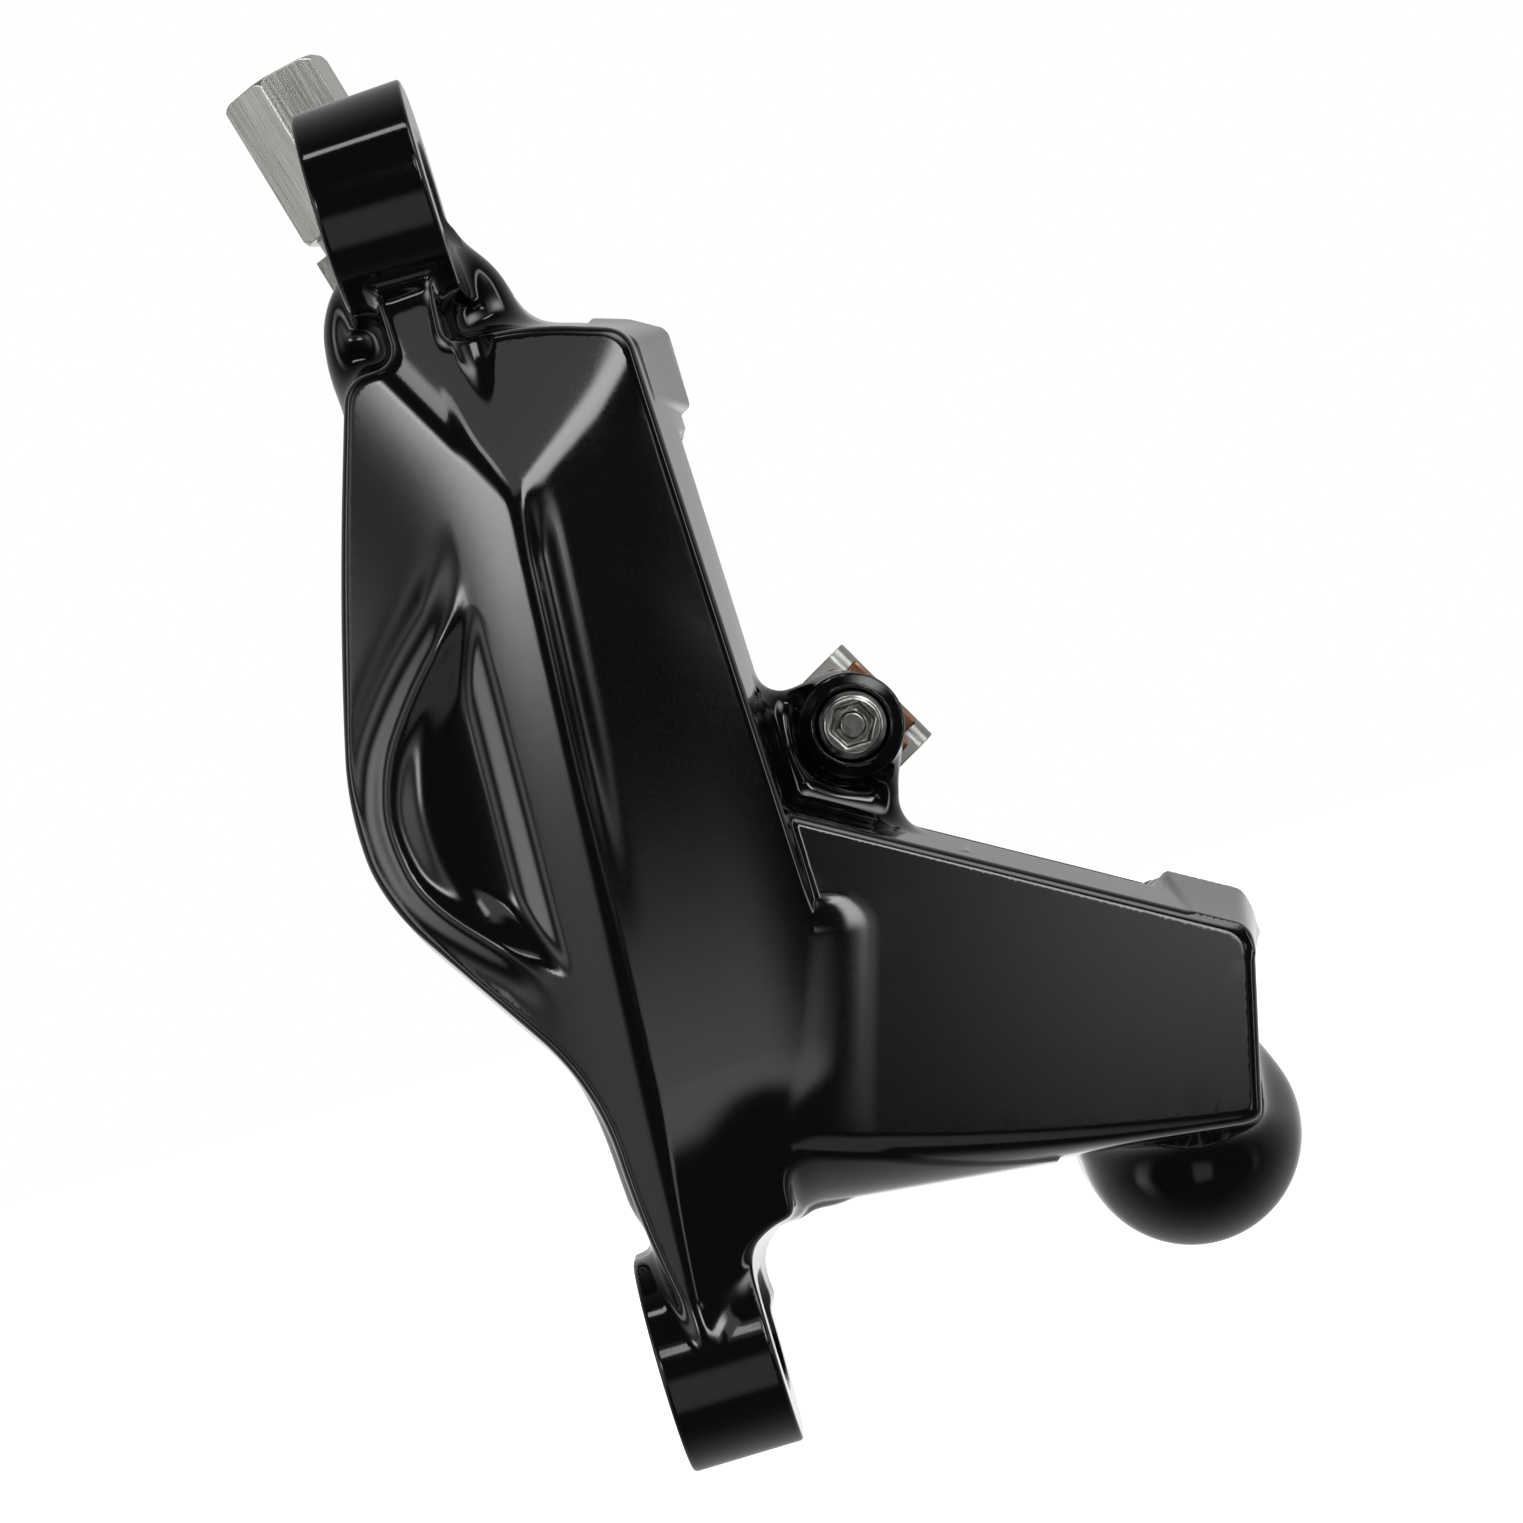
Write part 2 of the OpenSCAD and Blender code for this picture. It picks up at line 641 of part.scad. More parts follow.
module pad_spring() color("#b9bab8") from_rotor() {
  low = -pin_reach - pad_h;
  inner_y = spring_y - spring_t;
  difference() {
    intersection() {
      translate([pin_c.x, 0, pin_c.y]) rotate([0, -pad_angle, 0]) translate([0, 0, -pad_w])
        linear_extrude(2 * pad_w) difference() {
          polygon(fold_profile(low, spring_y, fold_reach, fold_bend));
          polygon(fold_profile(low - 1, inner_y, fold_reach - spring_t, fold_bend - spring_t));
        }
      slab(-spring_y - 1, spring_y + 1) spring_outline();
    }
    y_rod(pin_c, -spring_y - 1, spring_y + 1, pin_r + 0.3);
  }
}

// Pad pin: threaded into the inboard ear, with a hex socket and a round pip in its head
module pad_pin() color("#c9cac8") from_rotor() {
  head = pin_head_d / 2;
  difference() {
    turned(pin_c) polygon([
      [0, ear_end + 0.3], [head - 0.4, ear_end + 0.3], [head, ear_end - 0.1], [head, ear_end - 2.3],
      [pin_r, ear_end - 2.3], [pin_r, -ear_end - 0.4], [pin_r - 0.5, -ear_end - 0.4], [pin_r - 0.5, -ear_end - 0.9],
      [pin_r, -ear_end - 0.9], [pin_r, -ear_end - 1.5], [pin_r - 0.4, -ear_end - 1.9], [0, -ear_end - 1.9]
    ]);
    difference() {
      hex_rod(pin_c, -ear_end - 2, -ear_end + 1, 2.5);
      y_rod(pin_c, -ear_end - 0.2, -ear_end + 2, 0.8);
    }
  }
}

// Retaining clip in the groove at the pin's inboard end
module pin_clip() color("#8d8e90") from_rotor() {
  slab(ear_end + 0.45, ear_end + 0.85) translate(pin_c) difference() {
    circle(r = pin_r + 1.5);
    circle(r = pin_r - 0.45);
    rotate(pad_angle) translate([0, -pin_r * 0.6]) square([pin_r + 3, pin_r * 1.2]);
    rotate(pad_angle) translate([pin_r - 0.9, -pin_r * 0.6]) square([4, pin_r * 1.2]);
  }
}

// Local frame of the hose fitting: Z along the hose, at the middle of the banjo
module hose_frame() {
  translate([banjo_c.x, banjo_mid, banjo_c.y]) rotate([0, -hose_angle, 0]) children();
}

module banjo() color("#b4b6b8") from_rotor() {
  difference() {
    union() {
      y_rod(banjo_c, banjo_y, banjo_y + banjo_t, banjo_r);
      hose_frame() {
        translate([0, 0, banjo_r - 2]) cylinder(r = nut_af / 2 - 0.6, h = nut_seat - banjo_r + 2 - nut_gap - 2.4);
        translate([0, 0, nut_seat - nut_gap - 2.6]) rotate([0, 0, nut_turn])
          cylinder(r = nut_af / sqrt(3), h = 2.6, $fn = 6);
        translate([0, 0, nut_seat - nut_gap - 0.5]) cylinder(r = spigot_r, h = nut_gap + 0.5 + spigot_l);
      }
    }
    y_rod(banjo_c, banjo_y - 1, banjo_y + banjo_t + 1, banjo_bolt_r + 0.12);
    y_rod(banjo_c, banjo_mid - 1.2, banjo_mid + 1.2, banjo_bolt_r + 0.9);
    hose_frame() {
      cylinder(r = 0.9, h = fitting_l);
      translate([0, 0, nut_seat + 0.6]) cylinder(r = hose_r - 0.6, h = nut_l);
    }
  }
}

// Hollow bolt that feeds the banjo, with a hex socket in its head
module banjo_bolt() color("#34353a") from_rotor() {
  top = banjo_y + banjo_t + washer_t;
  head = banjo_r - 0.9;
  difference() {
    mirror([0, 1, 0]) turned(banjo_c) polygon([
      [0, 1.7], [banjo_bolt_r - 0.6, 1.7], [banjo_bolt_r, 2.3], [banjo_bolt_r, top], [head, top],
      [head, top + 3.4], [head - 0.6, top + 4], [0, top + 4]
    ]);
    hex_rod(banjo_c, top + 1.2, top + 5, 4);
    y_rod(banjo_c, 1, banjo_mid + 1, 1.1);
    drilling([banjo_c.x - 5, banjo_mid, banjo_c.y], [banjo_c.x + 5, banjo_mid, banjo_c.y], 0.9);
  }
}

module banjo_washers() color("#b87a4a") from_rotor() {
  for (y = [banjo_boss_y, banjo_y + banjo_t])
    difference() {
      y_rod(banjo_c, y, y + washer_t, washer_r);
      y_rod(banjo_c, y - 1, y + washer_t + 1, banjo_bolt_r + 0.05);
    }
}

// Hex nut that clamps the hose, with chamfered ends
module compression_nut() color("#9a9c9e") from_rotor() {
  corner = nut_af / sqrt(3);
  hose_frame() difference() {
    intersection() {
      translate([0, 0, nut_seat]) rotate([0, 0, nut_turn]) cylinder(r = corner, h = nut_l, $fn = 6);
      translate([0, 0, nut_seat]) rotate_extrude() polygon([
        [0, 0], [nut_af / 2 + 0.2, 0], [corner + 0.1, 0.5], [corner + 0.1, nut_l - 0.5],
        [nut_af / 2 + 0.2, nut_l], [0, nut_l]
      ]);
    }
    translate([0, 0, nut_seat - 1]) cylinder(r = spigot_r + thread_fit, h = 1 + olive_end + 0.1);
    translate([0, 0, nut_seat]) cylinder(r = hose_r + hose_fit, h = nut_l + 1);
  }
}

// Brass ring that the nut squeezes on the hose
module hose_olive() color("#b59a4e") from_rotor() {
  inner = hose_r + hose_fit;
  outer = spigot_r - 0.02;
  hose_frame() translate([0, 0, nut_seat + spigot_l + 0.05]) rotate_extrude() polygon([
    [inner, 0], [inner + 0.15, 0], [outer, 0.6], [outer, olive_l - 0.5], [inner + 0.15, olive_l], [inner, olive_l]
  ]);
}

// Screw that closes the bleed port, with a hex socket
module bleed_screw() color("#55575a") from_rotor() {
  top = bleed_h - 1.6;
  r = bleed_screw_r;
  difference() {
    mirror([0, 1, 0]) turned(bleed_c) polygon([
      [0, bleed_seat_y + 0.1], [r - 1.4, bleed_seat_y + 0.1], [r, bleed_seat_y + 1.5], [r, top], [0, top]
    ]);
    hex_rod(bleed_c, top - 3, top + 1, 4);
  }
}

module bleed_screw_seal() color("#1c1c1c") from_rotor() {
  mirror([0, 1, 0]) turned(bleed_c)
    translate([bleed_screw_r + 0.15, bleed_h - 1.15]) square([1.1, 0.9]);
}

// Soft cover pressed over the bleed port
module bleed_cover() color("#161617") from_rotor() {
  mirror([0, 1, 0]) turned(bleed_c) polygon([
    [0, bleed_h + 0.05], [bleed_cover_r - 0.2, bleed_h + 0.05], [bleed_cover_r, bleed_h + 0.5],
    [bleed_cover_r - 0.8, bleed_h + bleed_cover_t], [0, bleed_h + bleed_cover_t]
  ]);
}

outboard_body();
inboard_body();
body_bolts();
crossover_seals();
outboard_upper_piston();
outboard_lower_piston();
inboard_upper_piston();
inboard_lower_piston();
outboard_upper_seal();
outboard_lower_seal();
inboard_upper_seal();
inboard_lower_seal();
outboard_backplate();
outboard_friction();
inboard_backplate();
inboard_friction();
pad_spring();
pad_pin();
pin_clip();
banjo();
banjo_bolt();
banjo_washers();
compression_nut();
hose_olive();
bleed_screw();
bleed_screw_seal();
bleed_cover();
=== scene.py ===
"""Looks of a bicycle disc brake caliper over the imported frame: halves, pads, pin, hose fitting and studio."""

import logging
import math
from dataclasses import dataclass, field
from enum import Enum
from typing import Callable, Sequence

import bmesh
import bpy
import numpy as np
from mathutils import Matrix, Vector


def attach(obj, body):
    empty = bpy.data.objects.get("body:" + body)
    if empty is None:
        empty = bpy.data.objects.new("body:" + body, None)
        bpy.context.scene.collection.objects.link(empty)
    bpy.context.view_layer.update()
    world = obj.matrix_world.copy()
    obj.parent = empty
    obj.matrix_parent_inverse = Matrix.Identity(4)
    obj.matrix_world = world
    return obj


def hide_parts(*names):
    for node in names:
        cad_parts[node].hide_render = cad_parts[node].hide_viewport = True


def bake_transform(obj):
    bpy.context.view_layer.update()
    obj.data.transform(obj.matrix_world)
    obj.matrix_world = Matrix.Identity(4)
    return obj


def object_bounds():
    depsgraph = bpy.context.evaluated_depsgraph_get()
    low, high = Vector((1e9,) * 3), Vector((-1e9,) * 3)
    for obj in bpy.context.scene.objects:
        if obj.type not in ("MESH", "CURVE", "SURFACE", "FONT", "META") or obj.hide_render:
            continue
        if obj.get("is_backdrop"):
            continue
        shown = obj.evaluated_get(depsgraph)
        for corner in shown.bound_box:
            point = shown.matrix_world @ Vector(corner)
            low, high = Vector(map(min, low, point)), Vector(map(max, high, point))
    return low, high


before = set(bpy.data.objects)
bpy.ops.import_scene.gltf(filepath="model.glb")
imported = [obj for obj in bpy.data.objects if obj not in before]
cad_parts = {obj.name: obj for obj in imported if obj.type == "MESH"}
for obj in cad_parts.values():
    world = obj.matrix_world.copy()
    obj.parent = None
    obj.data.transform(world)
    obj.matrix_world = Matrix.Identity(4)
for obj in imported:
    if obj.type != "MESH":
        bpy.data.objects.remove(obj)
CAD_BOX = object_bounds()

LOG = logging.getLogger("caliper")
MM = 0.001
POST_OFFSET = 11.0
HALVES = ("outboard", "inboard")
PLACES = ("upper", "lower")
Pair = tuple[float, float]
Hole = tuple[Pair, float, float, float, float]
Array = np.ndarray


class Side(Enum):
    """Which half of the caliper a piece belongs to: the sign of its depth along the row's Y."""

    OUTBOARD = -1
    INBOARD = 1


def linear(hex_colour: str) -> tuple[float, float, float, float]:
    """Turns an sRGB hex colour into Blender's linear RGBA.

    Args:
        hex_colour: six hex digits with a leading #.

    Returns:
        The linear red, green, blue and an alpha of 1.
    """
    digits = hex_colour.lstrip("#")
    values = [int(digits[i:i + 2], 16) / 255 for i in (0, 2, 4)]
    red, green, blue = [v / 12.92 if v <= 0.04045 else ((v + 0.055) / 1.055) ** 2.4 for v in values]
    return (red, green, blue, 1.0)


def add(tree: bpy.types.NodeTree, kind: str, inputs: dict | None = None,
        **settings: object) -> bpy.types.Node:
    """Adds a node with its settings and links.

    Args:
        tree: the node tree.
        kind: Blender's type name of the node.
        inputs: values or output sockets, by input name or index.
        settings: properties of the node.

    Returns:
        The new node.
    """
    made = tree.nodes.new(kind)
    for key, value in settings.items():
        setattr(made, key, value)
    for key, value in (inputs or {}).items():
        if isinstance(value, bpy.types.NodeSocket):
            tree.links.new(value, made.inputs[key])
        else:
            made.inputs[key].default_value = value
    return made


def fresh_material(name: str) -> tuple[bpy.types.Material, bpy.types.NodeTree]:
    """Makes an empty node material and gives it with its tree."""
    material = bpy.data.materials.new(name)
    material.use_nodes = True
    material.node_tree.nodes.clear()
    return material, material.node_tree


def grain(tree: bpy.types.NodeTree, size_mm: float, detail: float = 3.0,
          stretch: Sequence[float] | None = None,
          turn: tuple[float, float, float] = (0.0, 0.0, 0.0)) -> bpy.types.NodeSocket:
    """Noise on Object coordinates with features of a real size.

    Args:
        tree: the material's tree.
        size_mm: size of the noise's features.
        detail: octaves of the noise.
        stretch: scale of each turned axis, where under 1 draws the grain out.
        turn: Euler angles that bring the grain's axis onto the piece's own.

    Returns:
        The noise's factor socket.
    """
    place = add(tree, "ShaderNodeTexCoord")
    drawn = [1 / s for s in stretch or (1.0, 1.0, 1.0)]
    turned = add(tree, "ShaderNodeMapping", {
        "Vector": place.outputs["Object"], "Rotation": turn, "Scale": drawn}, vector_type="TEXTURE")
    noise = add(tree, "ShaderNodeTexNoise", {
        "Vector": turned.outputs[0], "Scale": 1 / (size_mm * MM), "Detail": detail, "Roughness": 0.55})
    return noise.outputs[0]


def between(tree: bpy.types.NodeTree, factor: bpy.types.NodeSocket, low: float, high: float,
            start: float = 0.3, end: float = 0.7) -> bpy.types.NodeSocket:
    """Maps a factor onto a range of values and gives the socket."""
    ranged = add(tree, "ShaderNodeMapRange", {
        "Value": factor, "From Min": start, "From Max": end, "To Min": low, "To Max": high})
    return ranged.outputs[0]


def tint(tree: bpy.types.NodeTree, factor: bpy.types.NodeSocket, dark: str,
         light: str) -> bpy.types.NodeSocket:
    """Mixes two hex colours by a factor and gives the colour socket."""
    mixed = add(tree, "ShaderNodeMix", data_type="RGBA")
    tree.links.new(factor, mixed.inputs[0])
    mixed.inputs[6].default_value = linear(dark)
    mixed.inputs[7].default_value = linear(light)
    return mixed.outputs[2]


def close(tree: bpy.types.NodeTree, surface: dict, height: bpy.types.NodeSocket | None = None,
          depth_mm: float = 0.0) -> None:
    """Ends a material in one Principled shader.

    Args:
        tree: the material's tree.
        surface: inputs of the Principled shader.
        height: socket that a bump follows.
        depth_mm: real depth of the bump.
    """
    if height is not None:
        bump = add(tree, "ShaderNodeBump", {"Height": height, "Distance": depth_mm * MM, "Strength": 1.0})
        surface = {**surface, "Normal": bump.outputs[0]}
    shader = add(tree, "ShaderNodeBsdfPrincipled", surface)
    add(tree, "ShaderNodeOutputMaterial", {"Surface": shader.outputs[0]})


@dataclass(frozen=True)
class GlossCoat:
    """Wet black lacquer on a forging: near-black and mirror sharp, with a faint orange peel and fine dust."""

    name: str
    dark: str = "#050506"
    light: str = "#09090a"
    polish: float = 0.05
    dulled: float = 0.11
    peel_mm: float = 2.2
    peel_depth_mm: float = 0.0012
    dust_mm: float = 0.12

    def make(self) -> bpy.types.Material:
        """Builds the lacquer's material."""
        material, tree = fresh_material(self.name)
        dust = grain(tree, self.dust_mm, 2.0)
        peel = grain(tree, self.peel_mm, 1.0)
        surface = {
            "Base Color": tint(tree, between(tree, dust, 0.0, 1.0, 0.45, 0.75), self.dark, self.light),
            "Roughness": between(tree, dust, self.polish, self.dulled, 0.4, 0.8),
            "IOR": 1.5,
        }
        close(tree, surface, peel, self.peel_depth_mm)
        return material


@dataclass(frozen=True)
class DrawnMetal:
    """Bare metal finished along one direction: streaks of light that run with the brush or the lathe."""

    name: str
    dark: str
    light: str
    smooth: float
    rough: float
    streak_mm: float = 0.12
    turn: tuple[float, float, float] = (0.0, 0.0, 0.0)
    stretch: tuple[float, float, float] = (1.0, 1.0, 0.04)
    depth_mm: float = 0.0005

    def make(self) -> bpy.types.Material:
        """Builds the metal's material."""
        material, tree = fresh_material(self.name)
        streaks = grain(tree, self.streak_mm, 4.0, self.stretch, self.turn)
        broad = grain(tree, 8 * self.streak_mm, 1.0, self.stretch, self.turn)
        surface = {
            "Base Color": tint(tree, between(tree, broad, 0.0, 1.0), self.dark, self.light),
            "Metallic": 1.0,
            "Roughness": between(tree, streaks, self.smooth, self.rough),
        }
        close(tree, surface, streaks, self.depth_mm)
        return material


@dataclass(frozen=True)
class Moulded:
    """Moulded or pressed matter, such as rubber, phenolic resin or pad compound: matt, with its own fleck."""

    name: str
    dark: str
    light: str
    rough: float
    fleck_mm: float
    depth_mm: float
    ior: float = 1.5

    def make(self) -> bpy.types.Material:
        """Builds the moulded material."""
        material, tree = fresh_material(self.name)
        fleck = grain(tree, self.fleck_mm, 5.0)
        surface = {
            "Base Color": tint(tree, between(tree, fleck, 0.0, 1.0, 0.4, 0.68), self.dark, self.light),
            "Roughness": between(tree, fleck, self.rough * 0.85, min(1.0, self.rough * 1.2)),
            "IOR": self.ior,
        }
        close(tree, surface, fleck, self.depth_mm)
        return material


HOSE_LEAN = math.radians(14.7)
COAT = GlossCoat("black_lacquer_on_forging")
OXIDE = DrawnMetal("black_oxide_steel", "#2a2a2c", "#3c3c3f", 0.28, 0.42, stretch=(1.0, 0.1, 1.0))
NUT_STEEL = DrawnMetal("brushed_nickel_steel", "#c4c4bf", "#d2d2cd", 0.2, 0.32, 0.1, (0.0, -HOSE_LEAN, 0.0),
                       (1.0, 1.0, 0.02), 0.0005)
BANJO_STEEL = DrawnMetal("machined_banjo_steel", "#94948f", "#b5b4b0", 0.2, 0.32, 0.1,
                         stretch=(1.0, 1.0, 0.1))
PIN_STEEL = DrawnMetal("turned_stainless_pin", "#9b9b98", "#b1b1ad", 0.19, 0.26, 0.05,
                       stretch=(1.0, 0.2, 1.0), depth_mm=0.0001)
STRIP_STEEL = DrawnMetal("rolled_stainless_strip", "#aaaaa7", "#bcbcb8", 0.3, 0.36, 0.15,
                         stretch=(1.0, 0.05, 1.0), depth_mm=0.0001)
CLIP_STEEL = DrawnMetal("zinc_plated_wire", "#6c6d70", "#8c8d90", 0.25, 0.4)
COPPER = DrawnMetal("copper_plated_steel", "#8a5d44", "#b0826a", 0.2, 0.28, 0.9, stretch=(1.0, 1.0, 1.0),
                    depth_mm=0.0003)
SOFT_COPPER = DrawnMetal("annealed_copper_washer", "#9a5f3d", "#c07f58", 0.3, 0.45, 0.2,
                         stretch=(1.0, 1.0, 1.0))
BRASS = DrawnMetal("turned_brass_ring", "#9c8544", "#c0a860", 0.2, 0.34)
ANODISED = DrawnMetal("black_anodised_alloy", "#26272b", "#37383d", 0.26, 0.38, 0.15, stretch=(1.0, 0.2, 1.0))
GREY_ANODISED = DrawnMetal("grey_anodised_alloy", "#4a4b4e", "#5f6064", 0.26, 0.38)
RESIN = Moulded("moulded_phenolic_piston", "#1d1d1f", "#2c2c2f", 0.38, 0.3, 0.003, 1.6)
RUBBER = Moulded("moulded_seal_rubber", "#0f0f10", "#1a1a1b", 0.6, 0.5, 0.004, 1.52)
SOFT_COVER = Moulded("satin_cover_rubber", "#0d0d0e", "#161617", 0.42, 0.6, 0.004, 1.52)
COMPOUND = Moulded("pressed_pad_compound", "#2a2623", "#7a5b45", 0.85, 0.45, 0.03, 1.5)


@dataclass
class Space:
    """Places in the caliper's depth frame, in mm: x, height out from the rotor's plane on one side, and z."""

    x: Array
    w: Array
    z: Array


def smooth_max(a: Array, b: Array, k: float) -> Array:
    """Larger of two distances, rounded where they are within k of each other."""
    h = np.maximum(k - np.abs(a - b), 0) / k
    return np.maximum(a, b) + h * h * (k / 4)


def smooth_min(a: Array, b: Array, k: float) -> Array:
    """Smaller of two distances, with a fillet where they are within k of each other."""
    return -smooth_max(-a, -b, k)


def wall(s: Space, p: Pair, q: Pair, lean: float = 0.0, base: float = 0.0) -> Array:
    """Distance past a wall.

    Args:
        s: the places.
        p: start of the wall's line, seen along the depth.
        q: end of the line, with the body on its left.
        lean: degrees by which the wall leans in.
        base: depth at which the wall stands on the line.

    Returns:
        The distances, negative on the body's side.
    """
    dx, dz = q[0] - p[0], q[1] - p[1]
    run = math.hypot(dx, dz)
    across = ((s.x - p[0]) * dz - (s.z - p[1]) * dx) / run
    angle = math.radians(lean)
    return across * math.cos(angle) + (s.w - base) * math.sin(angle)


def front(s: Space, at: Pair, height: float, slope_x: float, slope_z: float) -> Array:
    """Distance above a front plane with a height at a point and two slopes."""
    steep = math.sqrt(1 + slope_x ** 2 + slope_z ** 2)
    return (s.w - height - slope_x * (s.x - at[0]) - slope_z * (s.z - at[1])) / steep


def outline(s: Space, points: Sequence[Pair], leans: Sequence[float], k: float) -> Array:
    """Distance outside a convex outline whose walls lean in, with its corners rounded."""
    far = None
    for i, p in enumerate(points):
        side = wall(s, p, points[(i + 1) % len(points)], leans[i])
        far = side if far is None else smooth_max(far, side, k)
    return far


def bar(s: Space, c: Pair, low: float, high: float, radius: float, k: float = 0.2) -> Array:
    """Distance outside a round bar along the depth, with its rims rounded."""
    side = np.hypot(s.x - c[0], s.z - c[1]) - radius
    return smooth_max(side, np.maximum(low - s.w, s.w - high), k)


def cut(body: Array, tool: Array, k: float = 0.2) -> Array:
    """Body less a tool, with the edge between them rounded."""
    return smooth_max(body, -tool, k)


def rise(value: Array, low: float, high: float) -> Array:
    """Smooth step from 0 at low to 1 at high."""
    t = np.clip((value - low) / (high - low), 0, 1)
    return t * t * (3 - 2 * t)


def swell(value: Array, height: float, middle: float, width: float) -> Array:
    """Bell-shaped swelling of a surface, with its height, its middle and its half width."""
    return height * np.exp(-((value - middle) / width) ** 2)


@dataclass
class Forging:
    """Sizes that both halves share, in mm, about the rotor's plane."""

    ridge_top: Pair = (6.7, 17.2)
    ridge_tip: Pair = (3.1, -36.0)
    pad_angle: float = math.radians(28.4)
    pad_mid: Pair = (6.5, -11.1)
    rotor_axis: float = -69.0
    rotor_reach: float = 82.5
    slot_half: float = 2.6
    pocket: float = 6.1
    pad_side: float = 18.95
    pad_low: float = -9.05
    pad_corner: float = 5.8
    land_edge: float = 20.9
    bore_end: float = 15.0
    bore_gap: float = 0.05
    groove: Pair = (2.05, 3.8)
    groove_depth: float = 1.63
    pistons: tuple[Pair, ...] = ((-10.6, 7.5), (8.6, 8.0))
    pin_reach: float = 18.3
    ear_low: float = 6.3
    ear_high: float = 10.2
    ear_r: float = 3.3
    ear_cone: Pair = (2.4, math.radians(28))
    web_drop: float = 1.5
    pin_hole_r: float = 1.53
    tab_t: float = 7.1
    tab_r: float = 6.8
    post_half: float = 37.1
    slot_reach: float = 1.6
    slot_r: float = 3.25
    upper_arm: tuple[Pair, ...] = (
        (-1.6, 28.3), (-8.1, 8.5), (-9.7, 1.0), (-8.8, -6.4), (5.0, -28.0), (18.5, -33.0),
        (18.5, 1.9), (18.0, 26.0), (9.8, 28.8),
    )
    upper_lean: tuple[float, ...] = (3, 3, 3, 5, 0, 0, 6, 6, 6)
    right_arm: tuple[Pair, ...] = ((8.0, -31.0), (40.8, -34.9), (44.4, -20.6), (8.0, 0.9))
    right_lean: tuple[float, ...] = (6, 6, 6, 0)
    corner: tuple[Pair, ...] = ((0.2, -18.6), (0.6, -29.0), (3.0, -30.6), (13.0, -31.6), (13.0, -18.6))
    bottom: tuple[Pair, Pair] = ((4.0, -30.5), (45.0, -35.4))
    bolts: tuple[Pair, ...] = ((11.2, 21.6), (36.6, -24.6))
    ports: tuple[Pair, ...] = ((4.6, 23.4), (33.2, -30.4))
    banjo: Pair = (3.6, 29.2)
    port_seat: Pair = (0.72, 3.0)
    port_hole: Pair = (5.0, 1.0)
    upper_land: tuple[Pair, ...] = ((14, 20.2), (18.66, 20.2), (18.66, 25.6), (16, 27.2), (14, 27.2))
    right_land: tuple[Pair, ...] = ((39, -23), (44.3, -23), (44.0, -19.75), (39.2, -16.93))
    land_h: float = 15.0
    web: tuple[Pair, ...] = ((16.0, 1.2), (16.0, -10.0), (23.6, -10.0), (24.9, -5.3), (22.8, 0.85))

    def at(self, r: float, t: float) -> Pair:
        """Point at a distance along the rotor's radius and rim from the middle of the pads."""
        c, s = math.cos(self.pad_angle), math.sin(self.pad_angle)
        return (self.pad_mid[0] + r * c + t * s, self.pad_mid[1] + r * s - t * c)

    def polar(self, s: Space) -> tuple[Array, Array]:
        """Distances of places along the rotor's radius and rim from the middle of the pads."""
        c, n = math.cos(self.pad_angle), math.sin(self.pad_angle)
        dx, dz = s.x - self.pad_mid[0], s.z - self.pad_mid[1]
        return dx * c + dz * n, dx * n - dz * c

    def opened(self, s: Space, body: Array) -> Array:
        """Cuts the rotor's slot, the pads' pocket, the pistons' bores and the ports from a half."""
        r, t = self.polar(s)
        centre = self.at(self.rotor_axis, 0.0)
        rotor = np.hypot(s.x - centre[0], s.z - centre[1]) - self.rotor_reach
        way = np.maximum(np.abs(t) - self.land_edge, -r)
        body = cut(body, np.maximum(np.minimum(rotor, way), s.w - self.slot_half), 0.3)
        side = np.abs(t) - self.pad_side - (self.land_edge - self.pad_side) * rise(r, 15.0, 18.0)
        corner = (np.abs(t) - self.pad_side + self.pad_corner - (r - self.pad_low)) / math.sqrt(2)
        pocket = np.maximum(np.maximum(side, self.pad_low - r), np.maximum(corner, s.w - self.pocket))
        body = cut(body, pocket, 0.3)
        low, high = [self.pocket + end for end in self.groove]
        for along, radius in self.pistons:
            c = self.at(0.0, along)
            body = self.bored(s, body, (
                (c, self.pocket - 1, self.bore_end, radius + self.bore_gap, 0.2),
                (c, low, high, radius + self.groove_depth, 0.1)))
        for c in self.ports:
            body = self.bored(s, body, ((c, -1, *self.port_seat, 0.1), (c, -1, *self.port_hole, 0.1)))
        return body

    def bored(self, s: Space, body: Array, holes: Sequence[Hole]) -> Array:
        """Cuts round holes: each has its centre, its low and high end, its radius and its rim's rounding."""
        for c, low, high, radius, rim in holes:
            body = cut(body, bar(s, c, low, high, radius), rim)
        return body

    def ear(self, s: Space) -> Array:
        """Ear that carries one end of the pad pin, with its curved web to both arms."""
        c = self.at(self.pin_reach, 0.0)
        ring = bar(s, c, self.ear_low, self.ear_high, self.ear_r, 0.25)
        start, lean = self.ear_cone
        across = np.hypot(s.x - c[0], s.z - c[1]) - start
        slant = across * math.sin(lean) + (s.w - self.ear_high) * math.cos(lean)
        ring = smooth_max(ring, slant, 0.15)
        flat = Space(s.x, s.w * 0, s.z)
        edge = outline(flat, self.web, (0,) * len(self.web), 1.0)
        web = smooth_max(edge, np.maximum(self.ear_low - s.w, s.w - self.ear_high + self.web_drop), 2.0)
        return smooth_min(ring, web, 1.6)

    def lands(self, s: Space) -> Array:
        """Slightly raised ends of the walls where the halves meet."""
        upper = outline(s, self.upper_land, (0, 8, 9, 0, 0), 0.5)
        right = outline(s, self.right_land, (0, 8, 8, 0), 0.5)
        return np.maximum(np.minimum(upper, right), s.w - self.land_h)


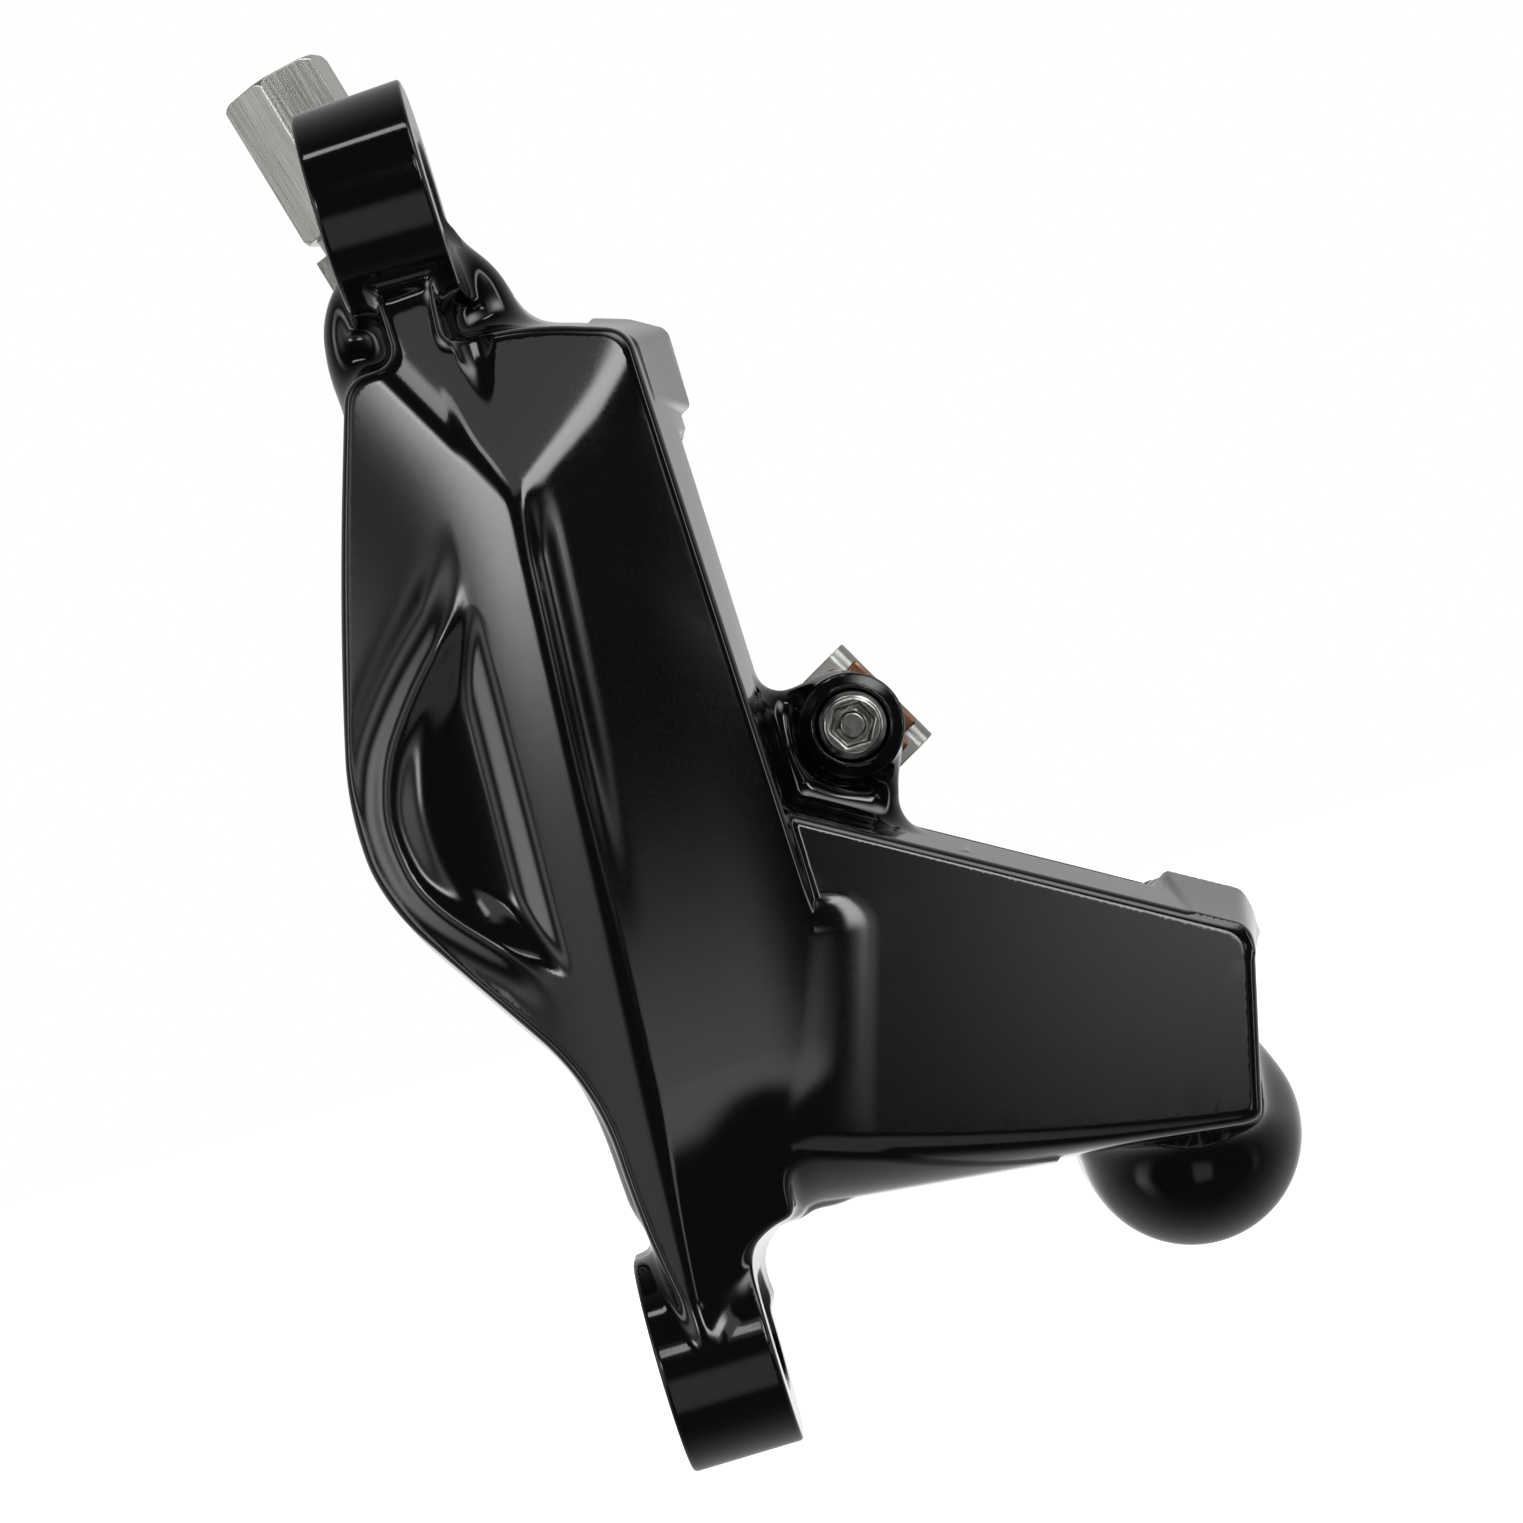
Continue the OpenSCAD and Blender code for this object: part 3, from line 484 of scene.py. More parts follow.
@dataclass
class OutboardHalf(Forging):
    """Outboard half: faceted cover with a long ridge, both mounting tabs, the neck and the prow."""

    ridge_h: float = 19.2
    main_slope: float = -0.2
    top_slopes: Pair = (-0.065, -0.161)
    arm_drop: float = 3.3
    fan_slope: float = -0.24
    crease_roll: float = 0.1
    panel_round: float = 0.004
    valley: tuple[float, float, float] = (0.15, 1.0, 0.85)
    left_slope: float = 0.2
    left_round: float = 0.0055
    fold_ring: tuple[float, float, float] = (0.28, 1.3, 0.75)
    fold_ditch: tuple[float, float, float] = (0.22, 3.2, 1.0)
    teardrop_points: tuple[Pair, ...] = (
        (1.7, 9.6), (-3.1, 5.0), (-4.9, 1.9), (-5.4, -1.4), (-4.3, -5.3), (-1.9, -8.0), (1.0, -10.9),
    )
    neck_points: tuple[Pair, ...] = ((1.2, 34.0), (1.2, 24.0), (5.9, 24.0), (6.6, 34.0))
    gouge_x: Pair = (5.85, 6.9)
    gouge_h: float = 19.1
    gouge_fall: float = 0.33
    gouge_r: Pair = (1.2, 1.8)
    bolt_hole: Pair = (12.5, 2.53)
    pin_hole_r: float = 1.55
    pin_head: Pair = (2.4, 2.3)
    tab_tilt: float = 0.045
    apron: tuple[Pair, Pair] = ((27.0, -21.5), (18.3, -13.0))
    apron_lean: float = 65.0
    apron_base: float = 16.2
    bevel: tuple[Pair, Pair] = ((10.2, -26.0), (37.7, -33.5))
    bevel_lean: float = 41.0
    bevel_drop: float = 2.2
    corner_h: float = 9.0
    boss: tuple[float, float, float] = (7.4, 6.25, 2.2)
    prow_h: float = 17.0
    prow_points: tuple[Pair, ...] = ((1.1, -32.8), (3.3, -36.0), (7.6, -33.6))
    fillet_c: Pair = (10.6, -34.7)
    fillet_r: float = 3.5
    hollow_h: float = 16.95
    low: tuple[float, float, float] = (-11.5, -0.75, -45.5)
    high: tuple[float, float, float] = (46.0, 20.6, 45.5)

    def teardrop(self, s: Space) -> Array:
        """Distance outside the teardrop hollow's outline over the upper piston."""
        flat = Space(s.x, s.w * 0, s.z)
        return outline(flat, self.teardrop_points, (0,) * len(self.teardrop_points), 1.2)

    def right_facet(self, s: Space, off: Array) -> Array:
        """Right of the crest: a long panel that twists into the fan, with a shallow valley at the crest."""
        dx, dz = s.x - self.ridge_top[0], s.z - self.ridge_top[1]
        past = 0.61 * dx - 0.79 * dz
        roll = 0.4 + 2.6 * rise(0.79 * dx + 0.61 * dz, 0.0, 15.0)
        fan = rise(-s.z, 20.0, 34.0) * rise(self.ridge_top[0] + 8.0 - s.x, -2.0, 6.0)
        fall = self.main_slope + self.fan_slope * fan
        lift = roll * (1 - np.exp(-np.maximum(past, 0) / roll)) + np.clip(past, -4.0, 0)
        height = self.ridge_h + fall * off + self.crease_roll * lift
        height = height - self.panel_round * np.maximum(off - 6.0, 0) ** 2
        valley = swell(off, *self.valley) * rise(past, 0.5, 4.0) * rise(s.z, -12.0, 3.0)
        return (s.w - height + valley) / 1.02

    def left_facet(self, s: Space, off: Array) -> Array:
        """Left of the crest: a rounding panel with folds round the teardrop hollow."""
        away = np.maximum(-off, 0)
        dx, dz = s.x - self.ridge_top[0], s.z - self.ridge_top[1]
        deep = smooth_min(away, np.maximum(-0.909 * dx - 0.416 * dz, 0), 2.0)
        drop = self.teardrop(s)
        near = rise(away, 4.0, 7.0) * rise(s.z, -17.0, -9.0)
        fold = swell(drop, *self.fold_ring) - swell(drop, *self.fold_ditch)
        height = self.ridge_h + self.left_slope * off - self.left_round * deep ** 2 + fold * near
        floor = self.hollow_h + 0.04 * (off + 9.0) + 0.02 * np.maximum(off + 8.0, 0) ** 2
        inner = rise(-drop, -1.0, 1.6)
        return (s.w - height - inner * (floor - height)) / 1.03

    def roof(self, s: Space) -> Array:
        """Front of the upper arm: two long facets at a crest and the flat facet above them."""
        lean = (self.ridge_top[0] - self.ridge_tip[0]) / (self.ridge_top[1] - self.ridge_tip[1])
        off = s.x - self.ridge_top[0] - lean * (s.z - self.ridge_top[1])
        main = self.right_facet(s, off)
        left = self.left_facet(s, off)
        top = front(s, self.ridge_top, self.ridge_h, *self.top_slopes)
        left = smooth_max(left, (top + left) / 1.97 + 0.08 - 0.4 * rise(off, -3.0, 0.0), 0.1)
        return smooth_max(smooth_max(main, left, 0.25), top, 0.3)

    def prow(self, s: Space) -> Array:
        """Walls of the fan below the ridge that runs out on the lower tab."""
        edge = wall(s, (0.2, -18.6), (0.5, -30.6), 3)
        shoulder, tip, root = self.prow_points
        edge = smooth_max(edge, wall(s, (0.4, -30.0), shoulder, 3), 1.5)
        edge = smooth_max(edge, wall(s, shoulder, tip, 3, self.prow_h), 1.0)
        edge = smooth_max(edge, wall(s, tip, root, 8, self.prow_h), 0.9)
        scoop = self.fillet_r - np.hypot(s.x - self.fillet_c[0], s.z - self.fillet_c[1]) + 0.10 * (s.w - 6)
        edge = smooth_max(edge, scoop, 0.6)
        return smooth_max(edge, np.maximum(s.z + 14.0, s.x - self.fillet_c[0]), 0.8)

    def tab(self, s: Space, sign: int) -> Array:
        """Mounting tab, a racetrack seen along the bolts."""
        away = np.maximum(np.abs(s.w - POST_OFFSET) - self.slot_reach, 0)
        rim = np.hypot(away, s.z - sign * self.post_half) - max(sign, 0) * self.tab_tilt * (s.x - self.tab_t)
        faces = np.maximum(-s.x, s.x - self.tab_t)
        return smooth_max(rim - self.tab_r, faces, 0.3)

    def slot(self, s: Space, sign: int) -> Array:
        """Slot of a mounting tab, with a small chamfer at both faces."""
        away = np.maximum(np.abs(s.w - POST_OFFSET) - self.slot_reach, 0)
        rim = np.hypot(away, s.z - sign * self.post_half)
        depth = np.abs(s.x - self.tab_t / 2) - self.tab_t / 2
        return np.maximum(rim - self.slot_r - np.clip(depth + 0.35, 0, 1), depth - 0.6)

    def neck(self, s: Space) -> Array:
        """Walls of the block that carries the upper tab and ends in a slope below the tab."""
        block = outline(s, self.neck_points, (3, 0, 3, 0), 0.5)
        back = front(s, (3.0, 30.4), 17.3, 0.0, -1.2)
        return smooth_max(block, np.maximum(back, 1.5 - s.w), 0.5)

    def scoop(self, s: Space) -> Array:
        """Gouge that frees the neck's right flank and runs out to a point on the facets."""
        along = np.clip(s.z - 24.4, -3.0, 9.0)
        edge, middle = self.gouge_x
        start_r, end_r = self.gouge_r
        round_r = start_r + (end_r - start_r) * rise(along, 0.0, 4.0)
        around = np.hypot(s.x - middle, s.w - self.gouge_h + self.gouge_fall * along) - round_r
        return smooth_max(np.maximum(around, s.z - 33.0), np.maximum(edge - s.x, 21.5 - s.z), 0.2)

    def distance(self, s: Space) -> Array:
        """Signed distance of places to the half's surface, negative inside."""
        bevel = wall(s, *self.bevel, self.bevel_lean, self.ridge_h - self.bevel_drop)
        below = smooth_max(bevel, wall(s, *self.bottom, 6), 2.5)
        sides = smooth_max(outline(s, self.upper_arm, self.upper_lean, 1.4), below, 0.9)
        sides = smooth_min(sides, self.neck(s), 1.4)
        sides = smooth_min(sides, self.prow(s), 2.4)
        roof = self.roof(s)
        arm = smooth_max(sides, roof, 0.6)
        slant = wall(s, *self.apron, self.apron_lean, self.apron_base)
        apron = smooth_max(np.maximum(s.z + 12.0, s.x - 27.0), slant, 0.8)
        arm = np.minimum(arm, smooth_max(np.maximum(np.maximum(apron, 10.0 - s.x), below), roof, 0.4))
        right_top = front(s, (18.5, -8.0), self.ridge_h - self.arm_drop, -0.055, -0.05)
        right = smooth_max(outline(s, self.right_arm, self.right_lean, 1.2), right_top, 0.7)
        right = smooth_max(right, below, 0.9)
        body = smooth_min(arm, right, 0.5)
        low = smooth_max(outline(s, self.corner, (3, 8, 6, 0, 0), 1.0), s.w - self.corner_h, 0.8)
        low = smooth_max(low, wall(s, *self.bottom, 6), 1.0)
        body = smooth_min(body, low, 1.6)
        body = smooth_min(body, self.lands(s), 0.3)
        body = smooth_min(body, bar(s, self.banjo, -1, *self.boss), 2.6)
        body = smooth_min(body, self.ear(s), 1.8)
        body = cut(body, self.scoop(s), 0.25)
        body = smooth_min(body, self.tab(s, 1), 1.2)
        body = smooth_min(body, self.tab(s, -1), 1.0)
        body = np.maximum(body, -s.w)
        body = self.opened(s, body)
        for sign in (1, -1):
            body = cut(body, self.slot(s, sign), 0.1)
        pin = self.at(self.pin_reach, 0.0)
        head_h, head_r = self.pin_head
        body = self.bored(s, body, (
            *((c, -1, *self.bolt_hole, 0.15) for c in self.bolts),
            (pin, self.ear_low - 1, self.ear_high + 1, self.pin_hole_r, 0.1),
            (pin, self.ear_high - head_h, self.ear_high + 3, head_r, 0.25)))
        tab_faces = np.maximum(-s.x, s.x - self.tab_t)
        return np.maximum(body, np.where(np.abs(s.z) > self.post_half - 0.1, tab_faces, -1.0))


@dataclass
class InboardHalf(Forging):
    """Inboard half: round piston bosses, banjo seat and the domed bleed port."""

    height: float = 16.5
    banjo_seat: float = 8.0
    banjo_boss_r: float = 6.3
    bleed: Pair = (36.7, -34.7)
    bleed_r: float = 7.4
    bleed_h: float = 15.5
    banjo_hole: Pair = (1.4, 3.03)
    banjo_room: float = 0.9
    bolt_hole_r: float = 2.65
    bolt_seat: Pair = (5.5, 4.35)
    bleed_hole: Pair = (6.0, 3.03)
    cover_seat: Pair = (1.2, 4.4)
    boss_wall: float = 0.9
    low: tuple[float, float, float] = (-11.5, -0.75, -43.0)
    high: tuple[float, float, float] = (46.0, 18.2, 36.6)

    def dome(self, s: Space) -> Array:
        """Domed boss of the bleed port."""
        across = np.hypot(s.x - self.bleed[0], s.z - self.bleed[1])
        ball = np.hypot(across, np.minimum(s.w - self.bleed_r - 0.5, 0)) - self.bleed_r
        return smooth_max(ball, s.w - self.bleed_h, 0.5)

    def distance(self, s: Space) -> Array:
        """Signed distance of places to the half's surface, negative inside."""
        arm = outline(s, self.upper_arm, self.upper_lean, 1.4)
        slope = smooth_max(front(s, (-6.6, 0.0), self.height, 0.75, 0.08), s.w - self.height, 2.0)
        slope = smooth_max(slope, front(s, (0.0, 20.0), self.height, 0.0, -0.25), 1.2)
        arm = smooth_max(arm, slope, 1.6)
        right = outline(s, self.right_arm, self.right_lean, 1.2)
        right_top = smooth_max(front(s, (36.0, -24.0), self.height, -0.3, 0.0), s.w - self.height, 1.5)
        right = smooth_max(right, right_top, 1.4)
        body = smooth_max(smooth_min(arm, right, 0.8), wall(s, *self.bottom, 6), 2.0)
        low = smooth_max(outline(s, self.corner, (3, 8, 6, 0, 0), 1.0), s.w - self.height + 0.6, 1.0)
        body = smooth_min(body, low, 1.2)
        for along, radius in self.pistons:
            c = self.at(0.0, along)
            boss = bar(s, c, self.pocket + 2, self.height + 0.5, radius + self.boss_wall, 1.2)
            body = smooth_min(body, boss, 0.9)
        body = smooth_min(body, self.lands(s), 0.3)
        body = smooth_min(body, self.ear(s), 1.8)
        seat = bar(s, self.banjo, -1, self.banjo_seat, self.banjo_boss_r, 0.5)
        body = smooth_min(body, seat, 1.0)
        body = smooth_min(body, self.dome(s), 3.0)
        body = np.maximum(body, -s.w)
        body = self.opened(s, body)
        pin = self.at(self.pin_reach, 0.0)
        hole_low, hole_r = self.banjo_hole
        seat_h, seat_r = self.bolt_seat
        port_low, port_r = self.bleed_hole
        cover_h, cover_r = self.cover_seat
        body = self.bored(s, body, (
            (self.banjo, self.banjo_seat, self.height + 9, self.banjo_boss_r + self.banjo_room, 0.3),
            (self.banjo, hole_low, self.banjo_seat + 1, hole_r, 0.2)))
        for c in self.bolts:
            body = self.bored(s, body, (
                (c, -1, self.height, self.bolt_hole_r, 0.15),
                (c, self.height - seat_h, self.height + 2, seat_r, 0.4)))
        return self.bored(s, body, (
            (pin, self.ear_low - 1, self.ear_high + 1, self.pin_hole_r, 0.1),
            (self.bleed, port_low, self.bleed_h + 1, port_r, 0.1),
            (self.bleed, self.bleed_h - cover_h, self.bleed_h + 1, cover_r, 0.1),
            (self.bleed, self.bleed_h, self.height + 2, self.bleed_r + 0.3, 0.1)))


@dataclass
class Skinner:
    """Turns a signed distance into a closed mesh, with one point in each cell that the surface crosses."""

    step: float = 0.21
    coarse_step: float = 0.5
    block: int = 8
    most_triangles: int = 170000
    newton_rounds: int = 3

    def skin(self, name: str, half: OutboardHalf | InboardHalf, side: Side) -> bpy.types.Object:
        """Builds the mesh object of one half.

        Args:
            name: name of the new object.
            half: the half whose distance is skinned.
            side: which side of the rotor's plane it lies on.

        Returns:
            The object, in metres in the row's frame.
        """
        step = self.step
        axes = [np.arange(lo + 0.013, hi, step, dtype=np.float32) for lo, hi in zip(half.low, half.high)]
        points, quads = self.net(self.sampled(half.distance, axes, step), axes, step)
        points = self.settle(points, half.distance, step)
        made = self.as_object(name, points, quads, side)
        self.shade(made, half.distance, side)
        return made

    def sampled(self, distance: Callable[[Space], Array], axes: Sequence[Array], step: float) -> Array:
        """Distances on a grid, worked out one by one only in the blocks that the surface may cross."""
        middle = [a[::self.block] + 0.5 * (self.block - 1) * step for a in axes]
        coarse = distance(Space(middle[0][:, None, None], middle[1][None, :, None], middle[2][None, None, :]))
        coarse = np.ascontiguousarray(np.broadcast_to(coarse, [len(m) for m in middle])).astype(np.float32)
        near = np.abs(coarse) < 0.87 * self.block * step * 1.5
        full, mask = coarse, near
        for axis, along in enumerate(axes):
            full = np.take(np.repeat(full, self.block, axis), range(len(along)), axis)
            mask = np.take(np.repeat(mask, self.block, axis), range(len(along)), axis)
        spots = np.nonzero(mask)
        full[spots] = distance(Space(*[a[i] for a, i in zip(axes, spots)]))
        return full

    def net(self, f: Array, axes: Sequence[Array], step: float) -> tuple[Array, Array]:
        """Makes a surface net over a grid of distances.

        Args:
            f: the distances, on the grid.
            axes: the grid's places along x, w and z.
            step: the grid's step.

        Returns:
            The points, and the quads as rows of four point numbers.
        """
        inside = f < 0
        corners = [(i, j, k) for i in (0, 1) for j in (0, 1) for k in (0, 1)]
        size = tuple(n - 1 for n in f.shape)
        count = np.zeros(size, np.uint8)
        for i, j, k in corners:
            count += inside[i:i + size[0], j:j + size[1], k:k + size[2]]
        cell = np.argwhere((count > 0) & (count < 8))
        index = np.full(size, -1, np.int64)
        index[tuple(cell.T)] = np.arange(len(cell))
        total = np.zeros((len(cell), 3))
        hits = np.zeros(len(cell))
        for a in corners:
            for axis in range(3):
                if a[axis]:
                    continue
                b = tuple(c + (n == axis) for n, c in enumerate(a))
                fa = f[tuple((cell + a).T)]
                fb = f[tuple((cell + b).T)]
                crossed = (fa < 0) != (fb < 0)
                share = np.where(crossed, fa / np.where(crossed, fa - fb, 1), 0)
                spot = np.array(a, float) + np.zeros((len(cell), 3))
                spot[:, axis] += share
                total += spot * crossed[:, None]
                hits += crossed
        points = (cell + total / hits[:, None]) * step + np.array([a[0] for a in axes])
        quads = []
        for axis in range(3):
            u, v = (axis + 1) % 3, (axis + 2) % 3
            first = np.take(inside, range(size[axis]), axis)
            second = np.take(inside, range(1, size[axis] + 1), axis)
            edge = np.argwhere(first != second)
            edge = edge[(edge[:, u] > 0) & (edge[:, v] > 0) & (edge[:, u] < size[u]) & (edge[:, v] < size[v])]
            back_u, back_v = np.eye(3, dtype=int)[u], np.eye(3, dtype=int)[v]
            ring = [edge, edge - back_u, edge - back_u - back_v, edge - back_v]
            four = np.stack([index[tuple(c.T)] for c in ring], 1)
            turned = ~first[tuple(edge.T)]
            four[turned] = four[turned][:, ::-1]
            quads.append(four)
        return points, np.vstack(quads)

    def settle(self, points: Array, distance: Callable[[Space], Array], step: float) -> Array:
        """Moves points onto the surface along the distance's slope."""
        nudge = 0.02
        for _ in range(self.newton_rounds):
            x, w, z = points.T
            here = distance(Space(x, w, z))
            slope = np.stack([
                distance(Space(x + nudge, w, z)) - here,
                distance(Space(x, w + nudge, z)) - here,
                distance(Space(x, w, z + nudge)) - here,
            ], 1) / nudge
            move = -here[:, None] * slope / np.maximum((slope ** 2).sum(1), 0.2)[:, None]
            length = np.linalg.norm(move, axis=1, keepdims=True)
            points = points + move * np.minimum(1, 0.5 * step / np.maximum(length, 1e-9))
        return points

    def as_object(self, name: str, points: Array, quads: Array, side: Side) -> bpy.types.Object:
        """Mesh object from points in the depth frame, thinned where it is flat."""
        spots = np.stack([points[:, 0], POST_OFFSET + side.value * points[:, 1], points[:, 2]], 1) * MM
        if side is Side.INBOARD:
            quads = quads[:, ::-1]
        mesh = bpy.data.meshes.new(name)
        mesh.from_pydata(spots.tolist(), [], quads[:, ::-1].tolist())
        mesh.validate()
        made = placed(name, mesh)
        triangles = 2 * len(quads)
        if triangles > self.most_triangles:
            thin = made.modifiers.new("thin", "DECIMATE")
            thin.ratio = self.most_triangles / triangles
        mesh.polygons.foreach_set("use_smooth", [True] * len(mesh.polygons))
        return baked(made)

    def shade(self, made: bpy.types.Object, distance: Callable[[Space], Array], side: Side) -> None:
        """Gives the points the true normals of the surface, so that the thinned mesh shades evenly."""
        nudge = 0.08
        flat = np.empty(len(made.data.vertices) * 3)
        made.data.vertices.foreach_get("co", flat)
        x, y, z = flat.reshape(-1, 3).T / MM
        w = side.value * (y - POST_OFFSET)
        slope = np.stack([
            distance(Space(x + nudge, w, z)) - distance(Space(x - nudge, w, z)),
            side.value * (distance(Space(x, w + nudge, z)) - distance(Space(x, w - nudge, z))),
            distance(Space(x, w, z + nudge)) - distance(Space(x, w, z - nudge)),
        ], 1)
        slope /= np.maximum(np.linalg.norm(slope, axis=1, keepdims=True), 1e-9)
        made.data.normals_split_custom_set_from_vertices(slope.tolist())


def baked(made: bpy.types.Object) -> bpy.types.Object:
    """Replaces an object's mesh by its evaluated one and removes its modifiers."""
    bpy.context.view_layer.update()
    graph = bpy.context.evaluated_depsgraph_get()
    mesh = bpy.data.meshes.new_from_object(made.evaluated_get(graph), preserve_all_data_layers=True,
                                           depsgraph=graph)
    made.modifiers.clear()
    made.data = mesh
    return made


def placed(name: str, data: bpy.types.ID) -> bpy.types.Object:
    """Makes an object and links it to the scene."""
    made = bpy.data.objects.new(name, data)
    bpy.context.scene.collection.objects.link(made)
    return made


def volume(made: bpy.types.Object) -> float:
    """Signed volume of a closed mesh, positive where its faces point out."""
    built = bmesh.new()
    built.from_mesh(made.data)
    size = built.calc_volume(signed=True)
    built.free()
    return size


@dataclass
class EdgedCopy:
    """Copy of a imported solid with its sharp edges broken, as a deburred or moulded piece has them."""

    width_mm: float = 0.12
    segments: int = 2
    least_angle: float = 35.0
    keep_half: Side | None = None

    def make(self, name: str, node: str) -> bpy.types.Object:
        """Builds the copy.

        Args:
            name: name of the new object.
            node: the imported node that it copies.

        Returns:
            The finished object.
        """
        built = bmesh.new()
        built.from_mesh(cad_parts[node].data)
        bmesh.ops.remove_doubles(built, verts=built.verts, dist=2e-6)
        if self.keep_half is not None:
            everything = built.verts[:] + built.edges[:] + built.faces[:]
            result = bmesh.ops.bisect_plane(
                built, geom=everything, dist=1e-7, plane_co=(0, POST_OFFSET * MM, 0),
                plane_no=(0, -self.keep_half.value, 0), clear_outer=True)
            rim = [e for e in result["geom_cut"] if isinstance(e, bmesh.types.BMEdge)]
            bmesh.ops.holes_fill(built, edges=rim)
        bmesh.ops.dissolve_limit(built, angle_limit=math.radians(1.0), verts=built.verts, edges=built.edges)
        mesh = bpy.data.meshes.new(name)
        built.to_mesh(mesh)
        built.free()
        mesh.polygons.foreach_set("use_smooth", [True] * len(mesh.polygons))
        made = placed(name, mesh)
        bevel = made.modifiers.new("edges", "BEVEL")
        bevel.width = self.width_mm * MM
        bevel.segments = self.segments
        bevel.limit_method = "ANGLE"
        bevel.angle_limit = math.radians(self.least_angle)
        bevel.harden_normals = False
        weigh = made.modifiers.new("weigh", "WEIGHTED_NORMAL")
        weigh.mode = "FACE_AREA"
        weigh.weight = 60
        return baked(made)


def dress(made: bpy.types.Object, material: bpy.types.Material) -> None:
    """Gives an object one material."""
    made.data.materials.clear()
    made.data.materials.append(material)


def settle_on(made: bpy.types.Object, body: str, nodes: Sequence[str], slot: str) -> None:
    """Makes a piece ride on a body and stand for nodes, which it hides."""
    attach(made, body)
    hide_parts(*nodes)
    LOG.info("%s rides on %s for %s, %d faces", made.name, body, ", ".join(nodes), len(made.data.polygons))


@dataclass
class Body:
    """The two forged halves, bored for the bolts that join them."""

    skinner: Skinner = field(default_factory=Skinner)
    outboard: OutboardHalf = field(default_factory=OutboardHalf)
    inboard: InboardHalf = field(default_factory=InboardHalf)

    def build(self) -> None:
        """Builds and dresses both halves."""
        coat = COAT.make()
        for name, half, side in (("outboard_shell", self.outboard, Side.OUTBOARD),
                                 ("inboard_shell", self.inboard, Side.INBOARD)):
            made = self.skinner.skin(name, half, side)
            LOG.info("%s has a volume of %.0f cubic mm", name, volume(made) * 1e9)
            dress(made, coat)
            settle_on(made, "caliper_body", [name.replace("shell", "body")], "body_black")


@dataclass(frozen=True)
class Copied:
    """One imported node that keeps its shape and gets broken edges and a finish."""

    node: str
    body: str
    slot: str
    finish: DrawnMetal | Moulded
    width_mm: float = 0.12
    least_angle: float = 35.0


@dataclass
class SmallPieces:
    """Pins, seals, bolts, pistons and pads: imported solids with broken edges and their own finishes."""

    pieces: tuple[Copied, ...] = (
        Copied("body_bolts", "caliper_body", "bolt_black", OXIDE, 0.15),
        Copied("crossover_seals", "caliper_body", "seal_rubber", RUBBER, 0.15),
        *(Copied(f"{half}_{place}_seal", "caliper_body", "seal_rubber", RUBBER, 0.1)
          for half in HALVES for place in PLACES),
        *(Copied(f"{half}_{place}_piston", f"{half}_{place}_piston", "piston_black", RESIN, 0.1)
          for half in HALVES for place in PLACES),
        *(Copied(f"{half}_backplate", f"{half}_pad", "copper_plate", COPPER, 0.3, 25.0) for half in HALVES),
        *(Copied(f"{half}_friction", f"{half}_pad", "friction_compound", COMPOUND, 0.18, 25.0)
          for half in HALVES),
        Copied("pad_pin", "caliper_body", "pin_steel", PIN_STEEL, 0.14),
        Copied("pin_clip", "caliper_body", "clip_steel", CLIP_STEEL, 0.08),
        Copied("banjo", "hose_fitting", "banjo_alloy", BANJO_STEEL, 0.18),
        Copied("compression_nut", "hose_fitting", "fitting_steel", NUT_STEEL, 0.12, 20.0),
        Copied("hose_olive", "hose_fitting", "olive_brass", BRASS, 0.05),
        Copied("banjo_bolt", "caliper_body", "banjo_bolt_black", ANODISED, 0.15),
        Copied("banjo_washers", "caliper_body", "washer_copper", SOFT_COPPER, 0.12),
        Copied("bleed_screw", "bleed_screw", "bleed_screw_grey", GREY_ANODISED, 0.12),
        Copied("bleed_screw_seal", "caliper_body", "seal_rubber", RUBBER, 0.12),
        Copied("bleed_cover", "caliper_body", "cover_rubber", SOFT_COVER, 0.2),
    )

    def build(self) -> None:
        """Copies, dresses and places every piece."""
        made_of: dict[str, bpy.types.Material] = {}
        for piece in self.pieces:
            name = piece.finish.name
            if name not in made_of:
                made_of[name] = piece.finish.make()
            made = EdgedCopy(piece.width_mm, 2, piece.least_angle).make(piece.node + "_edged", piece.node)
            dress(made, made_of[name])
            settle_on(made, piece.body, [piece.node], piece.slot)


